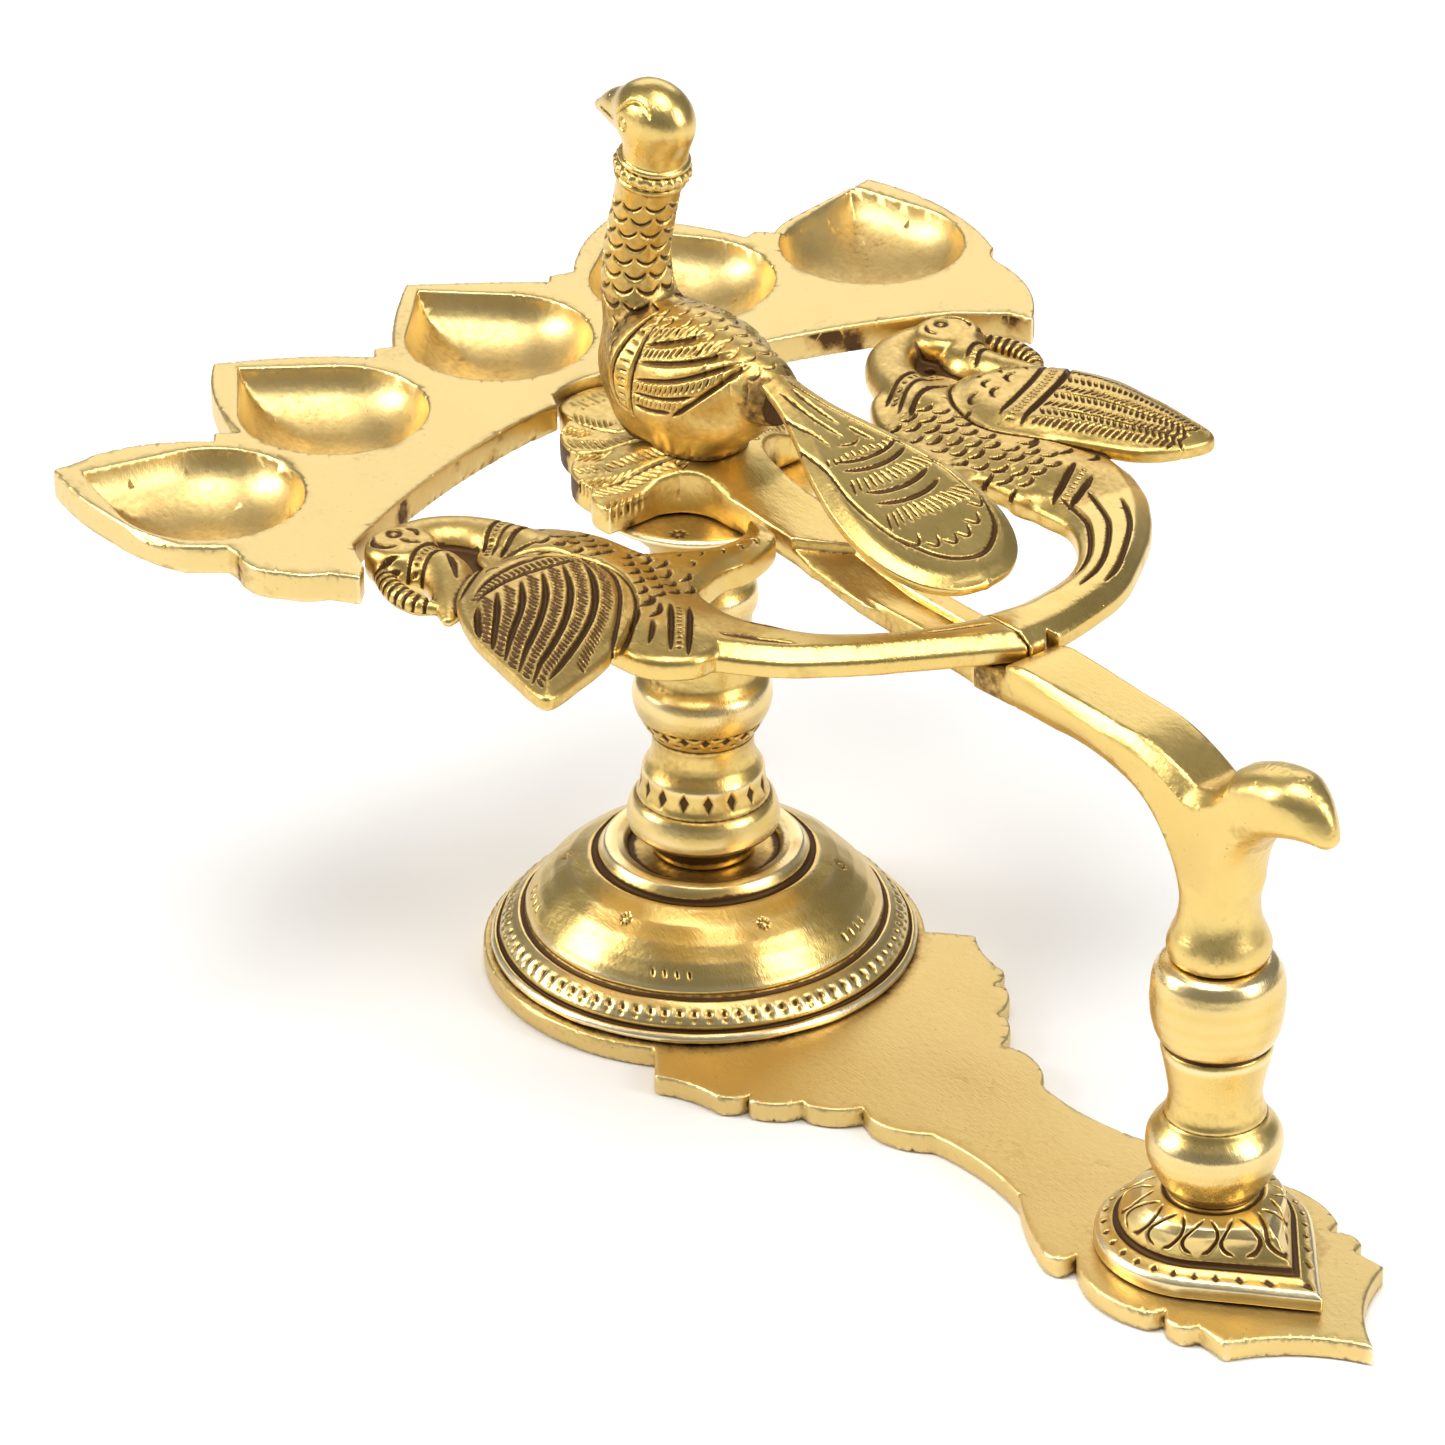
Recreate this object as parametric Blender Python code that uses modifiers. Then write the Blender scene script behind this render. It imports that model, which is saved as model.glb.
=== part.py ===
"""Brass five-wick standing oil lamp with a handle, two side birds and a turning peacock.

A scalloped base plate carries a hollow round foot and a turned pillar in front, and a lotus boss with a turned grip
column behind. The pillar holds a flat deck: a lamp tray with five leaf-shaped bowls, a feathered leaf with its spine,
and two birds whose tails meet in a hoop. The handle arm joins the deck to the grip column. The peacock screws onto
the end of the centre stud and turns about the pillar's axis. +X points from the tray towards the handle.
"""

import math

import bmesh
import bpy
from mathutils import Matrix, Vector

MM = 0.001
GAP = 0.3 * MM  # between two castings that touch
TURN_STEPS = 32  # sides of a turned casting
BOLT_STEPS = 16  # sides of a stud, a screw or a bore

# Base plate. Places along X are measured from the pillar's axis until the last lines of this file.
PLATE_THICK = 4.0 * MM
DISC_R = 39.0 * MM  # round front end, under the foot
DISC_LEAVES_DEG = 50.0  # where the scalloped edge leaves the round end
# Corners of the scalloped edge: x and y in mm, and how far the arc to the next corner bulges outwards.
PLATE_EDGE = (
    (30.8, 36.6, -1.0),
    (42.8, 32.6, 0.9),
    (45.8, 27.8, 0.0),
    (47.2, 29.2, 1.3),
    (53.4, 22.2, 0.0),
    (55.0, 22.6, 1.1),
    (61.6, 15.8, 0.0),
    (65.0, 17.2, 1.5),
    (76.0, 12.6, -1.4),
    (100.0, 14.0, 0.6),
)
# The corners about the grip column, with x from its axis, and the plate's tip
PLATE_REAR = (
    (-17.1, 22.4, 2.0),
    (-13.0, 18.6, 0.0),
    (-11.0, 20.2, 2.6),
    (8.0, 21.4, 0.0),
    (9.0, 18.6, 0.0),
    (10.4, 20.0, 0.7),
    (15.4, 19.8, 0.0),
    (16.2, 17.6, 0.0),
    (22.8, 18.0, -2.4),
)
PLATE_TIP = 39.4 * MM

# Round foot, a hollow turned shell: radius and height of its outer side, from the saucer's floor down to the plate.
FOOT_WALL = 3.4 * MM
SAUCER_Z = 22.0 * MM  # floor that the pillar stands on
FOOT_PROFILE = (
    (13.6, 22.0),
    (15.6, 23.8),
    (17.7, 23.7),
    (18.4, 22.3),
    (20.2, 21.4),
    (26.0, 17.8),
    (30.2, 13.4),
    (31.7, 10.9),
    (31.4, 10.1),
    (33.2, 9.6),
    (36.2, 6.9),
    (36.9, 5.4),
    (37.6, 5.0),
)

# Pillar: radius and height of its outer side, top to bottom.
PILLAR_TOP_Z = 80.0 * MM
PILLAR_PROFILE = (
    (8.4, 80.0),
    (8.0, 77.6),
    (9.8, 74.6),
    (9.8, 71.0),
    (8.6, 68.4),
    (8.9, 64.0),
    (9.4, 60.4),
    (10.0, 57.6),
    (11.6, 56.2),
    (12.3, 53.2),
    (11.4, 49.6),
    (9.9, 47.4),
    (9.0, 45.8),
    (8.9, 43.4),
    (9.6, 40.4),
    (10.8, 38.5),
    (11.2, 35.0),
    (12.6, 32.6),
    (13.5, 29.4),
    (12.4, 26.9),
    (9.6, 26.2),
    (9.0, 22.3),
)

# Seat flange: a thin dish that flares from the pillar's top to the underside of the deck.
SEAT_R = 20.7 * MM
SEAT_RIM = 1.6 * MM

# Deck
TRAY_TOP_Z = 100.8 * MM
TRAY_THICK = 5.4 * MM
DECK_TOP_Z = 100.0 * MM  # leaf and birds
LEAF_THICK = 6.2 * MM
SPINE_TOP_Z = 94.6 * MM  # the rear end of the spine dips under the hoop, which rests on it

# Lamp bowls: centre x and y in mm, and the direction of the lip in degrees, outwards from -X.
BOWLS = ((-55.4, 0.0, 0.0), (-52.3, 39.0, 8.0), (-41.5, 74.0, 31.0))
BOWL_R = 16.4 * MM
BOWL_LIP = 23.2 * MM  # from the bowl's centre to the point of its lip
BOWL_DEPTH = 9.6 * MM
BOWL_WALL = 2.2 * MM

# Tray outline, front lip to inner middle, hand-filed a little differently on each side: y > 0, then y < 0 with y turned.
TRAY_EDGES = (
    (
        (-82.0, 0.0, 0.4),
        (-66.6, 20.0, 0.0),
        (-68.4, 21.6, 0.0),
        (-67.0, 26.0, 1.6),
        (-79.6, 44.4, 1.6),
        (-57.6, 58.0, 0.0),
        (-58.6, 60.6, 0.0),
        (-55.0, 64.0, 0.4),
        (-61.6, 90.1, 3.6),
        (-25.6, 89.0, -0.8),
        (-21.0, 86.0, 2.6),
        (0.0, 75.6, 0.0),
        (-4.4, 74.2, 0.0),
        (-11.2, 66.4, -1.6),
        (-27.0, 22.0, -0.3),
        (-28.6, 8.4, 0.0),
        (-31.6, 6.8, -0.6),
        (-33.4, 0.0, 0.0),
    ),
    (
        (-82.0, 0.0, 0.8),
        (-64.5, 16.4, 0.0),
        (-66.2, 19.6, 0.0),
        (-63.6, 21.4, 1.2),
        (-79.6, 44.4, 2.2),
        (-56.0, 56.4, 0.0),
        (-58.8, 60.0, 0.0),
        (-56.4, 61.8, 3.4),
        (-65.4, 89.2, 3.0),
        (-29.4, 88.4, 0.0),
        (-24.2, 83.2, 0.0),
        (-20.8, 83.2, 1.8),
        (-10.8, 81.6, 0.8),
        (-5.7, 75.8, 0.0),
        (-1.0, 72.6, 0.0),
        (-4.0, 69.4, 0.0),
        (-11.2, 66.4, -1.6),
        (-27.0, 22.0, -0.3),
        (-28.6, 8.4, 0.0),
        (-31.6, 6.8, -0.6),
        (-33.4, 0.0, 0.0),
    ),
)

# Leaf with its spine: y > 0 side, front to rear.
LEAF_EDGE = (
    (-33.0, 0.0, 0.4),
    (-31.2, 6.2, 0.6),
    (-25.6, 7.6, 0.0),
    (-25.8, 8.4, 2.0),
    (-15.4, 15.2, 0.0),
    (-14.6, 15.8, 2.0),
    (-3.6, 21.2, 0.0),
    (-2.8, 21.8, 1.2),
    (4.6, 23.8, 0.0),
    (4.4, 13.0, -2.4),
    (14.0, 6.6, -0.8),
    (38.0, 7.4, -0.2),
)
SPINE_END_X = 77.7 * MM
SPINE_HALF_W = 6.6 * MM

# Side bird (the one at y > 0): outlines in mm on the deck, arcs as above.
BODY_EDGE = (
    (3.4, 35.4, 1.2),
    (12.0, 30.2, -0.4),
    (28.0, 29.6, -0.2),
    (48.6, 32.4, 0.0),
    (54.6, 50.4, 0.4),
    (44.0, 54.0, 0.0),
    (20.0, 52.0, 0.0),
    (8.0, 46.0, 0.8),
)
# Tail, one half of the hoop: first the left bird's, then the right bird's.
HOOP_END_X = 85.6  # outer side of the hoop over the handle
TAIL_EDGES = (
    (
        (45.0, 32.0, 0.6),
        (58.0, 32.6, 1.0),
        (70.4, 22.3, 1.0),
        (72.4, 0.0, 0.0),
        (HOOP_END_X, 0.0, 1.2),
        (79.8, 27.0, 1.0),
        (63.0, 47.4, 0.8),
        (50.0, 53.4, 0.0),
    ),
    (
        (41.0, 32.6, 0.2),
        (51.0, 28.4, 0.6),
        (64.0, 17.6, 0.6),
        (72.4, 0.0, 0.0),
        (HOOP_END_X, 0.0, 0.4),
        (78.0, 13.4, 0.6),
        (66.0, 31.6, 0.8),
        (46.0, 47.4, 0.0),
    ),
)
HOOP_TOP_Z = 99.4 * MM
# Wings, in the same order
WING_EDGES = (
    (
        (9.4, 54.6, 1.6),
        (14.8, 44.0, 1.6),
        (26.0, 42.0, 1.0),
        (36.0, 48.4, -0.4),
        (49.0, 55.6, 0.6),
        (54.0, 68.2, 0.8),
        (48.6, 71.2, 0.6),
        (27.0, 70.8, 1.4),
        (13.0, 64.0, 1.2),
    ),
    (
        (9.4, 54.6, 1.6),
        (14.8, 43.0, 1.8),
        (25.0, 39.6, 1.6),
        (36.0, 44.0, 0.6),
        (46.4, 57.4, 0.0),
        (51.0, 75.0, 0.8),
        (27.0, 70.6, 1.2),
        (13.0, 63.0, 1.2),
    ),
)
WING_LOW_Z = 98.2 * MM
WING_TOP_Z = 102.0 * MM
NECK_PATH = ((11.0, 41.4), (4.0, 43.2), (-3.4, 45.8), (-8.0, 50.2), (-9.4, 55.6), (-6.8, 60.0))
NECK_RADII = (6.0, 5.2, 4.5, 4.4, 4.6, 4.8)
BEAK_PATH = ((-2.0, 60.6), (3.0, 59.4), (8.0, 60.8), (12.4, 64.0), (15.4, 66.8))
BEAK_RADII = (4.6, 4.6, 3.8, 2.4, 0.9)
CREST_PATH = ((-2.4, 65.0), (0.8, 67.4), (4.0, 68.6), (7.0, 68.6), (10.0, 67.4))
CREST_RADII = (2.2, 2.2, 2.2, 2.0, 1.4)
ARM_PATH = ((25.0, 33.0), (28.4, 27.0), (30.4, 21.0), (30.2, 15.6), (28.6, 11.4))
ARM_RADII = (4.8, 4.2, 3.9, 3.7, 3.2)
BIRD_HEAD_AT = (-5.2, 60.6)
BIRD_HEAD_R = 6.2 * MM

# Grip column and handle, behind the pillar
GRIP_X = 132.6 * MM
GRIP_PROFILE = (
    (8.3, 60.4),
    (9.8, 59.6),
    (11.0, 56.4),
    (11.2, 52.6),
    (10.8, 48.6),
    (9.9, 45.4),
    (8.8, 44.7),
    (9.5, 43.6),
    (8.4, 39.4),
    (7.8, 34.6),
    (8.8, 30.4),
    (11.0, 27.8),
    (11.5, 25.0),
    (10.4, 20.6),
    (8.2, 17.2),
    (7.9, 16.2),
)
NECK_BULB = ((5.8, 71.5), (7.0, 67.6), (8.6, 64.6), (8.8, 62.6), (8.0, 60.7))
ARM_HALF_W = 6.8 * MM
THUMB_HALF_W = 2.8 * MM  # at the tip of the thumb rest
THUMB_FROM_X = GRIP_X + 11.4 * MM
NECK_HALF_W = 5.6 * MM  # the arm narrows to this below NECK_FROM_Z
NECK_FROM_Z = 86.0 * MM
# Side view of the arm with its thumb rest and neck: x and z in mm, and the bulge towards the next corner. The first
# and last corners are measured from the pillar's axis and the others from the grip column's.
ARM_START = (86.4, 97.6, 0.2)
ARM_REAR = (
    (-19.6, 97.2, 1.2),
    (-2.0, 93.0, -1.4),
    (5.4, 98.6, 1.0),
    (18.8, 102.2, 2.2),
    (27.0, 93.0, 0.2),
    (25.0, 91.6, -0.8),
    (14.0, 89.4, -2.0),
    (7.4, 75.4, -0.4),
    (5.2, 64.0, 0.0),
    (-5.2, 64.0, -0.4),
    (-7.2, 76.4, -2.2),
    (-18.6, 87.8, -0.8),
)
ARM_UNDER = (98.0, 89.6, 0.0)

# Lotus boss: a leaf-shaped footing with its point to the rear
BOSS_LEAF_X = GRIP_X - 2.0 * MM
BOSS_TOP_Z = 15.9 * MM
# Radius, point and height of each ring, bottom to top; the top ring is a circle about the grip column.
BOSS_RINGS = (
    (18.4, 29.0, 4.3),
    (18.4, 29.0, 6.2),
    (17.6, 27.8, 7.4),
    (16.2, 25.4, 7.8),
    (14.6, 22.4, 9.0),
    (13.6, 18.8, 12.0),
    (11.8, 14.0, 14.6),
)
BOSS_NECK_R = 8.6 * MM

# Peacock, on the pillar's axis: seat at z = BIRD_SEAT_Z, looking towards the tray
BIRD_SEAT_Z = DECK_TOP_Z + GAP
BIRD_SEAT_R = 9.0 * MM  # its foot hides the nut
BIRD_SEAT_TOP_Z = 105.0 * MM
BIRD_NECK = ((-11.0, 110.0), (-14.0, 118.0), (-16.6, 126.0), (-16.4, 134.0), (-14.2, 142.0), (-12.4, 149.5), (-10.6, 156.0))
BIRD_NECK_RADII = (9.0, 7.4, 6.2, 5.8, 5.6, 5.8, 5.6)
BIRD_HEAD = (-10.4, 159.0)
BIRD_BEAK = ((-14.0, 158.6), (-20.0, 158.0), (-26.2, 156.8))
BIRD_BEAK_RADII = (4.6, 2.8, 0.7)
PADDLE_ROOT = (19.0, 121.6)  # middle of the tail's root, x and z
PADDLE_SLOPE_DEG = 16.6
PADDLE_THICK = 3.6 * MM
# Half outline of the tail in its own plane: distance from the root, half width, bulge.
PADDLE_EDGE = (
    (-6.0, 3.2, 0.0),
    (6.0, 4.4, -0.6),
    (24.0, 11.4, 0.9),
    (44.0, 14.2, 2.6),
    (58.4, 0.0, 0.0),
)

# Studs and screws
STUD_R = 4.0 * MM  # centre stud
STUD_LOW_Z = 62.0 * MM
STUD_HIGH_Z = 115.0 * MM
NUT_AF = 12.0 * MM  # across the flats
NUT_THICK = 3.4 * MM
SCREW_R = 3.0 * MM  # pillar screw
SCREW_END_Z = 44.0 * MM
GRIP_SCREW_R = 2.5 * MM
GRIP_SCREW_END_Z = 80.0 * MM
HEAD_RATIO = 2.0  # countersunk head radius over shank radius
BORE_CLEAR = 0.3 * MM
HEAD_SUNK = 0.4 * MM

BRASS = (0.80, 0.56, 0.22, 1.0)
STEEL = (0.55, 0.55, 0.56, 1.0)

scene = bpy.context.scene
for old in list(bpy.data.objects):
    bpy.data.objects.remove(old, do_unlink=True)

model = bpy.data.collections.new("brass_oil_lamp")
tools = bpy.data.collections.new("cutters")
scene.collection.children.link(model)
scene.collection.children.link(tools)


# ---------------------------------------------------------------- helpers


def metal(name, colour, roughness):
    mat = bpy.data.materials.new(name)
    mat.use_nodes = True
    shader = mat.node_tree.nodes["Principled BSDF"]
    shader.inputs["Base Color"].default_value = colour
    shader.inputs["Metallic"].default_value = 1.0
    shader.inputs["Roughness"].default_value = roughness
    return mat


def arc(start, end, bulge):
    """Points from start towards end (left out) on an arc that stands off the chord by bulge, to its left."""
    start, end = Vector(start), Vector(end)
    chord = end - start
    if abs(bulge) < 1e-9:
        return [start]
    count = 3 + int(chord.length / (7 * MM))
    side = Vector((-chord.y, chord.x)).normalized()
    points = []
    for i in range(count):
        t = i / count
        points.append(start + chord * t + side * bulge * (1 - (2 * t - 1) ** 2))
    return points


def path_of(corners, side=1):
    """Corners (x, y, bulge) in mm, joined by arcs, as points in metres."""
    points = []
    for (x0, y0, bulge), (x1, y1, _) in zip(corners, corners[1:]):
        points += arc((x0 * MM, y0 * MM), (x1 * MM, y1 * MM), side * bulge * MM)
    points.append(Vector((corners[-1][0] * MM, corners[-1][1] * MM)))
    return points


def behind_grip(corners):
    """Corners with x measured from the grip column's axis, as corners measured from the pillar's."""
    return tuple((GRIP_X / MM + x, other, bulge) for x, other, bulge in corners)


def mirrored(half):
    """The other half of an outline, followed back to its start."""
    return [Vector((p.x, -p.y)) for p in reversed(half)]


def both_sides(half):
    """A closed outline from its y >= 0 half, which starts and ends on the plane of symmetry or short of it."""
    return half + [p for p in mirrored(half) if p.y < -1e-6]


def link(ob, collection=None):
    (collection or model).objects.link(ob)
    return ob


def drop(ob):
    bpy.data.objects.remove(ob, do_unlink=True)


def as_mesh(ob):
    """The evaluated object as a plain mesh object, with doubled points welded."""
    graph = bpy.context.evaluated_depsgraph_get()
    mesh = bpy.data.meshes.new_from_object(ob.evaluated_get(graph))
    work = bmesh.new()
    work.from_mesh(mesh)
    bmesh.ops.remove_doubles(work, verts=work.verts, dist=1e-6)
    work.to_mesh(mesh)
    work.free()
    fresh = bpy.data.objects.new(ob.name + "_mesh", mesh)
    fresh.matrix_world = ob.matrix_world.copy()
    return fresh


def settled(ob):
    """Replaces an object by its evaluated mesh, in the same collection and under the same name."""
    name, home = ob.name, ob.users_collection[0]
    bpy.context.view_layer.update()
    fresh = as_mesh(ob)
    drop(ob)
    fresh.name = name
    home.objects.link(fresh)
    return fresh


def plate(name, outline, low, high, collection=None):
    """A flat outline in XY, filled from height low to height high."""
    curve = bpy.data.curves.new(name, "CURVE")
    curve.dimensions = "2D"
    curve.fill_mode = "BOTH"
    curve.extrude = (high - low) / 2
    spline = curve.splines.new("POLY")
    spline.points.add(len(outline) - 1)
    for point, place in zip(spline.points, outline):
        point.co = (place[0], place[1], 0.0, 1.0)
    spline.use_cyclic_u = True
    ob = link(bpy.data.objects.new(name, curve), collection)
    ob.location.z = (low + high) / 2
    return settled(ob)


def tube(name, path, radii, collection=None, sides=2):
    """A round bar with filled ends through 3D points, each with its own radius."""
    curve = bpy.data.curves.new(name, "CURVE")
    curve.dimensions = "3D"
    curve.bevel_depth = 1.0 * MM
    curve.bevel_resolution = sides
    curve.use_fill_caps = True
    spline = curve.splines.new("POLY")
    spline.points.add(len(path) - 1)
    for point, place, radius in zip(spline.points, path, radii):
        point.co = (*place, 1.0)
        point.radius = radius
    ob = link(bpy.data.objects.new(name, curve), collection)
    return settled(ob)


def turned(name, profile, steps=TURN_STEPS, collection=None):
    """A solid of revolution about Z: (radius, height) in metres down the outer side, closed on the axis."""
    mesh = bpy.data.meshes.new(name)
    points = [(0.0, 0.0, profile[0][1])] + [(r, 0.0, z) for r, z in profile] + [(0.0, 0.0, profile[-1][1])]
    mesh.from_pydata(points, [(i, i + 1) for i in range(len(points) - 1)], [])
    ob = link(bpy.data.objects.new(name, mesh), collection)
    spin = ob.modifiers.new("Spin", "SCREW")
    spin.axis = "Z"
    spin.steps = spin.render_steps = steps
    spin.use_merge_vertices = True
    spin.merge_threshold = 1e-5
    return settled(ob)


def loft(name, rings, collection=None):
    """A closed solid through rings of equal count, bottom to top, each seen anticlockwise from above."""
    work = bmesh.new()
    layers = [[work.verts.new(p) for p in ring] for ring in rings]
    count = len(layers[0])
    for low, high in zip(layers, layers[1:]):
        for i in range(count):
            j = (i + 1) % count
            work.faces.new((low[i], low[j], high[j], high[i]))
    work.faces.new(list(reversed(layers[0])))
    work.faces.new(layers[-1])
    mesh = bpy.data.meshes.new(name)
    work.to_mesh(mesh)
    work.free()
    return link(bpy.data.objects.new(name, mesh), collection)


def ball(name, centre, half_sizes, tilt_deg=0.0, collection=None, segments=20):
    """An ellipsoid; tilt_deg raises its +X end."""
    mesh = bpy.data.meshes.new(name)
    work = bmesh.new()
    bmesh.ops.create_uvsphere(work, u_segments=segments, v_segments=segments // 2, radius=1.0)
    shape = Matrix.Rotation(-math.radians(tilt_deg), 4, "Y") @ Matrix.Diagonal((*half_sizes, 1.0))
    bmesh.ops.transform(work, matrix=Matrix.Translation(centre) @ shape, verts=work.verts)
    work.to_mesh(mesh)
    work.free()
    return link(bpy.data.objects.new(name, mesh), collection)


def boolean(ob, other, operation):
    """Adds or cuts other, which stays as a guide in the cutters' collection."""
    for home in list(other.users_collection):
        home.objects.unlink(other)
    tools.objects.link(other)
    other.hide_render = True
    other.display_type = "WIRE"
    step = ob.modifiers.new(operation.title(), "BOOLEAN")
    step.operation = operation
    step.solver = "EXACT"
    step.object = other


def add(ob, *others):
    for other in others:
        boolean(ob, other, "UNION")


def cut(ob, *others):
    for other in others:
        boolean(ob, other, "DIFFERENCE")


def bore(name, x, radius, low, high, steps=BOLT_STEPS):
    """A cylinder about a vertical axis at x, to cut with."""
    tool = turned(name, ((radius, high), (radius, low)), steps, tools)
    tool.location.x = x
    return tool


def finish(ob, mat, smooth_deg=35.0):
    ob.data.materials.clear()
    ob.data.materials.append(mat)
    ob.data.shade_smooth()
    ob.data.set_sharp_from_angle(angle=math.radians(smooth_deg))
    return ob


def in_mm(pairs):
    return [(a * MM, b * MM) for a, b in pairs]


def leaf_ring(centre, radius, point, z, toward_deg, count=28):
    """A circle drawn out to a point on one side: the hull of both, anticlockwise from above."""
    touch = math.acos(radius / point)
    ring = []
    for i in range(count):
        angle = 2 * math.pi * i / count
        off = min(angle, 2 * math.pi - angle)
        reach = radius if off >= touch else radius / math.cos(touch - off)
        turn = angle + math.radians(toward_deg)
        ring.append((centre[0] + reach * math.cos(turn), centre[1] + reach * math.sin(turn), z))
    return ring


# ---------------------------------------------------------------- base


def make_base_plate():
    leave = math.radians(DISC_LEAVES_DEG)
    steps = 24
    half = []
    for i in range(steps + 1):
        angle = math.pi - (math.pi - leave) * i / steps
        half.append(Vector((DISC_R * math.cos(angle), DISC_R * math.sin(angle))))
    half += path_of(PLATE_EDGE + behind_grip(PLATE_REAR + ((PLATE_TIP / MM, 0.0, 0.0),)))
    ob = plate("base_plate", both_sides(half), 0.0, PLATE_THICK)
    for x, radius in ((0.0, SCREW_R), (GRIP_X, GRIP_SCREW_R)):
        hole, head = radius + BORE_CLEAR, radius * HEAD_RATIO + BORE_CLEAR
        slope = head - hole
        profile = ((hole, PLATE_THICK + MM), (hole, HEAD_SUNK + slope), (head, HEAD_SUNK), (head, -MM))
        tool = turned("countersink", profile, BOLT_STEPS, tools)
        tool.location.x = x
        cut(ob, tool)
    return finish(ob, metal("base_brass", BRASS, 0.30))


def make_round_foot():
    outer = in_mm(FOOT_PROFILE)
    rim_r, rim_z = outer[-1]
    floor = PLATE_THICK + GAP
    ob = turned("round_foot", outer + [(rim_r, floor)], 48)
    hollow = [(9.0 * MM, SAUCER_Z - FOOT_WALL)]
    hollow += [(r - FOOT_WALL, z - FOOT_WALL) for r, z in outer if r > 17 * MM and z > 9.5 * MM]
    hollow += [(rim_r - FOOT_WALL, floor + MM), (rim_r - FOOT_WALL, floor - MM)]
    cut(ob, turned("foot_hollow", hollow, 32, tools))
    cut(ob, bore("foot_bore", 0.0, SCREW_R + BORE_CLEAR, SAUCER_Z - 2 * FOOT_WALL, SAUCER_Z + MM))
    return finish(ob, metal("foot_brass", BRASS, 0.24))


def make_pillar():
    ob = turned("pillar", in_mm(PILLAR_PROFILE))
    base = PILLAR_PROFILE[-1][1] * MM
    cut(ob, bore("pillar_low_bore", 0.0, SCREW_R + BORE_CLEAR, base - MM, SCREW_END_Z + BORE_CLEAR))
    cut(ob, bore("pillar_high_bore", 0.0, STUD_R + BORE_CLEAR, STUD_LOW_Z - BORE_CLEAR, PILLAR_TOP_Z + MM))
    return finish(ob, metal("pillar_brass", BRASS, 0.22))


def make_seat_flange():
    top = DECK_TOP_Z - LEAF_THICK - GAP
    low = PILLAR_TOP_Z + GAP
    profile = (
        (SEAT_R - 0.5 * MM, top),
        (SEAT_R, top - SEAT_RIM / 2),
        (SEAT_R - 0.8 * MM, top - SEAT_RIM),
        (SEAT_R - 6.0 * MM, top - SEAT_RIM - 2.6 * MM),
        (9.6 * MM, low + 3.4 * MM),
        (8.8 * MM, low),
    )
    ob = turned("seat_flange", profile)
    cut(ob, bore("seat_bore", 0.0, STUD_R + BORE_CLEAR, low - MM, top + MM))
    return finish(ob, metal("seat_brass", BRASS, 0.30))


# ---------------------------------------------------------------- deck


def bowl_rings(centre, lip_deg, radius, lip, depth, top, layers=5):
    """Leaf-shaped rings from the bowl's rounded bottom up to height top."""
    toward = 180.0 - lip_deg
    rings = []
    for i in range(layers):
        angle = math.radians(12.0 + 78.0 * i / (layers - 1))
        shrink, drop_z = math.sin(angle), depth * math.cos(angle)
        z = TRAY_TOP_Z - drop_z if i < layers - 1 else top
        rings.append(leaf_ring(centre, radius * shrink, lip * shrink, z, toward))
    return rings


def make_lamp_tray():
    low = TRAY_TOP_Z - TRAY_THICK
    left, right = (path_of(edge) for edge in TRAY_EDGES)
    ob = plate("lamp_tray", left + mirrored(right)[1:-1], low, TRAY_TOP_Z)
    shells, hollows = [], []
    for x, y, lip_deg in BOWLS:
        for side in (1, -1) if y else (1,):
            centre, lip_way = (x * MM, side * y * MM), side * lip_deg
            outer = (BOWL_R + BOWL_WALL, BOWL_LIP + BOWL_WALL / 2, BOWL_DEPTH + BOWL_WALL)
            shells.append(loft("bowl_shell", bowl_rings(centre, lip_way, *outer, TRAY_TOP_Z - MM / 2)))
            inner = (BOWL_R, BOWL_LIP, BOWL_DEPTH)
            hollows.append(loft("bowl_hollow", bowl_rings(centre, lip_way, *inner, TRAY_TOP_Z + MM)))
    add(ob, *shells)
    cut(ob, *hollows)
    return finish(ob, metal("tray_brass", BRASS, 0.38))


def make_leaf_spine():
    half = path_of(LEAF_EDGE + ((SPINE_END_X / MM, SPINE_HALF_W / MM, 0.0),))
    ob = plate("leaf_spine", both_sides(half), DECK_TOP_Z - LEAF_THICK, DECK_TOP_Z)
    ramp_start, ramp_end = 30 * MM, 60 * MM
    wide, high = 40 * MM, DECK_TOP_Z + 2 * MM
    ramp = [(ramp_start, high), (ramp_start, DECK_TOP_Z), (ramp_end, SPINE_TOP_Z), (SPINE_END_X + MM, SPINE_TOP_Z)]
    ramp += [(SPINE_END_X + MM, high)]
    cut(ob, side_plate("leaf_ramp", ramp, wide, tools))
    under = DECK_TOP_Z - LEAF_THICK
    rib = [(SEAT_R + 2 * MM, under + MM), (SPINE_END_X, under + MM), (SPINE_END_X, ARM_UNDER[1] * MM)]
    rib += [(SPINE_END_X - 30 * MM, ARM_UNDER[1] * MM + MM)]
    add(ob, side_plate("spine_rib", rib, SPINE_HALF_W - MM, tools))
    cut(ob, bore("leaf_bore", 0.0, STUD_R + BORE_CLEAR, under - MM, DECK_TOP_Z + MM))
    recess = bore("nut_recess", 0.0, NUT_AF / 2 / math.cos(math.pi / 6) + MM, nut_low_z() - GAP, DECK_TOP_Z + MM)
    cut(ob, recess)
    return finish(ob, metal("leaf_brass", BRASS, 0.34))


def nut_low_z():
    return DECK_TOP_Z - NUT_THICK - GAP


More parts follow.
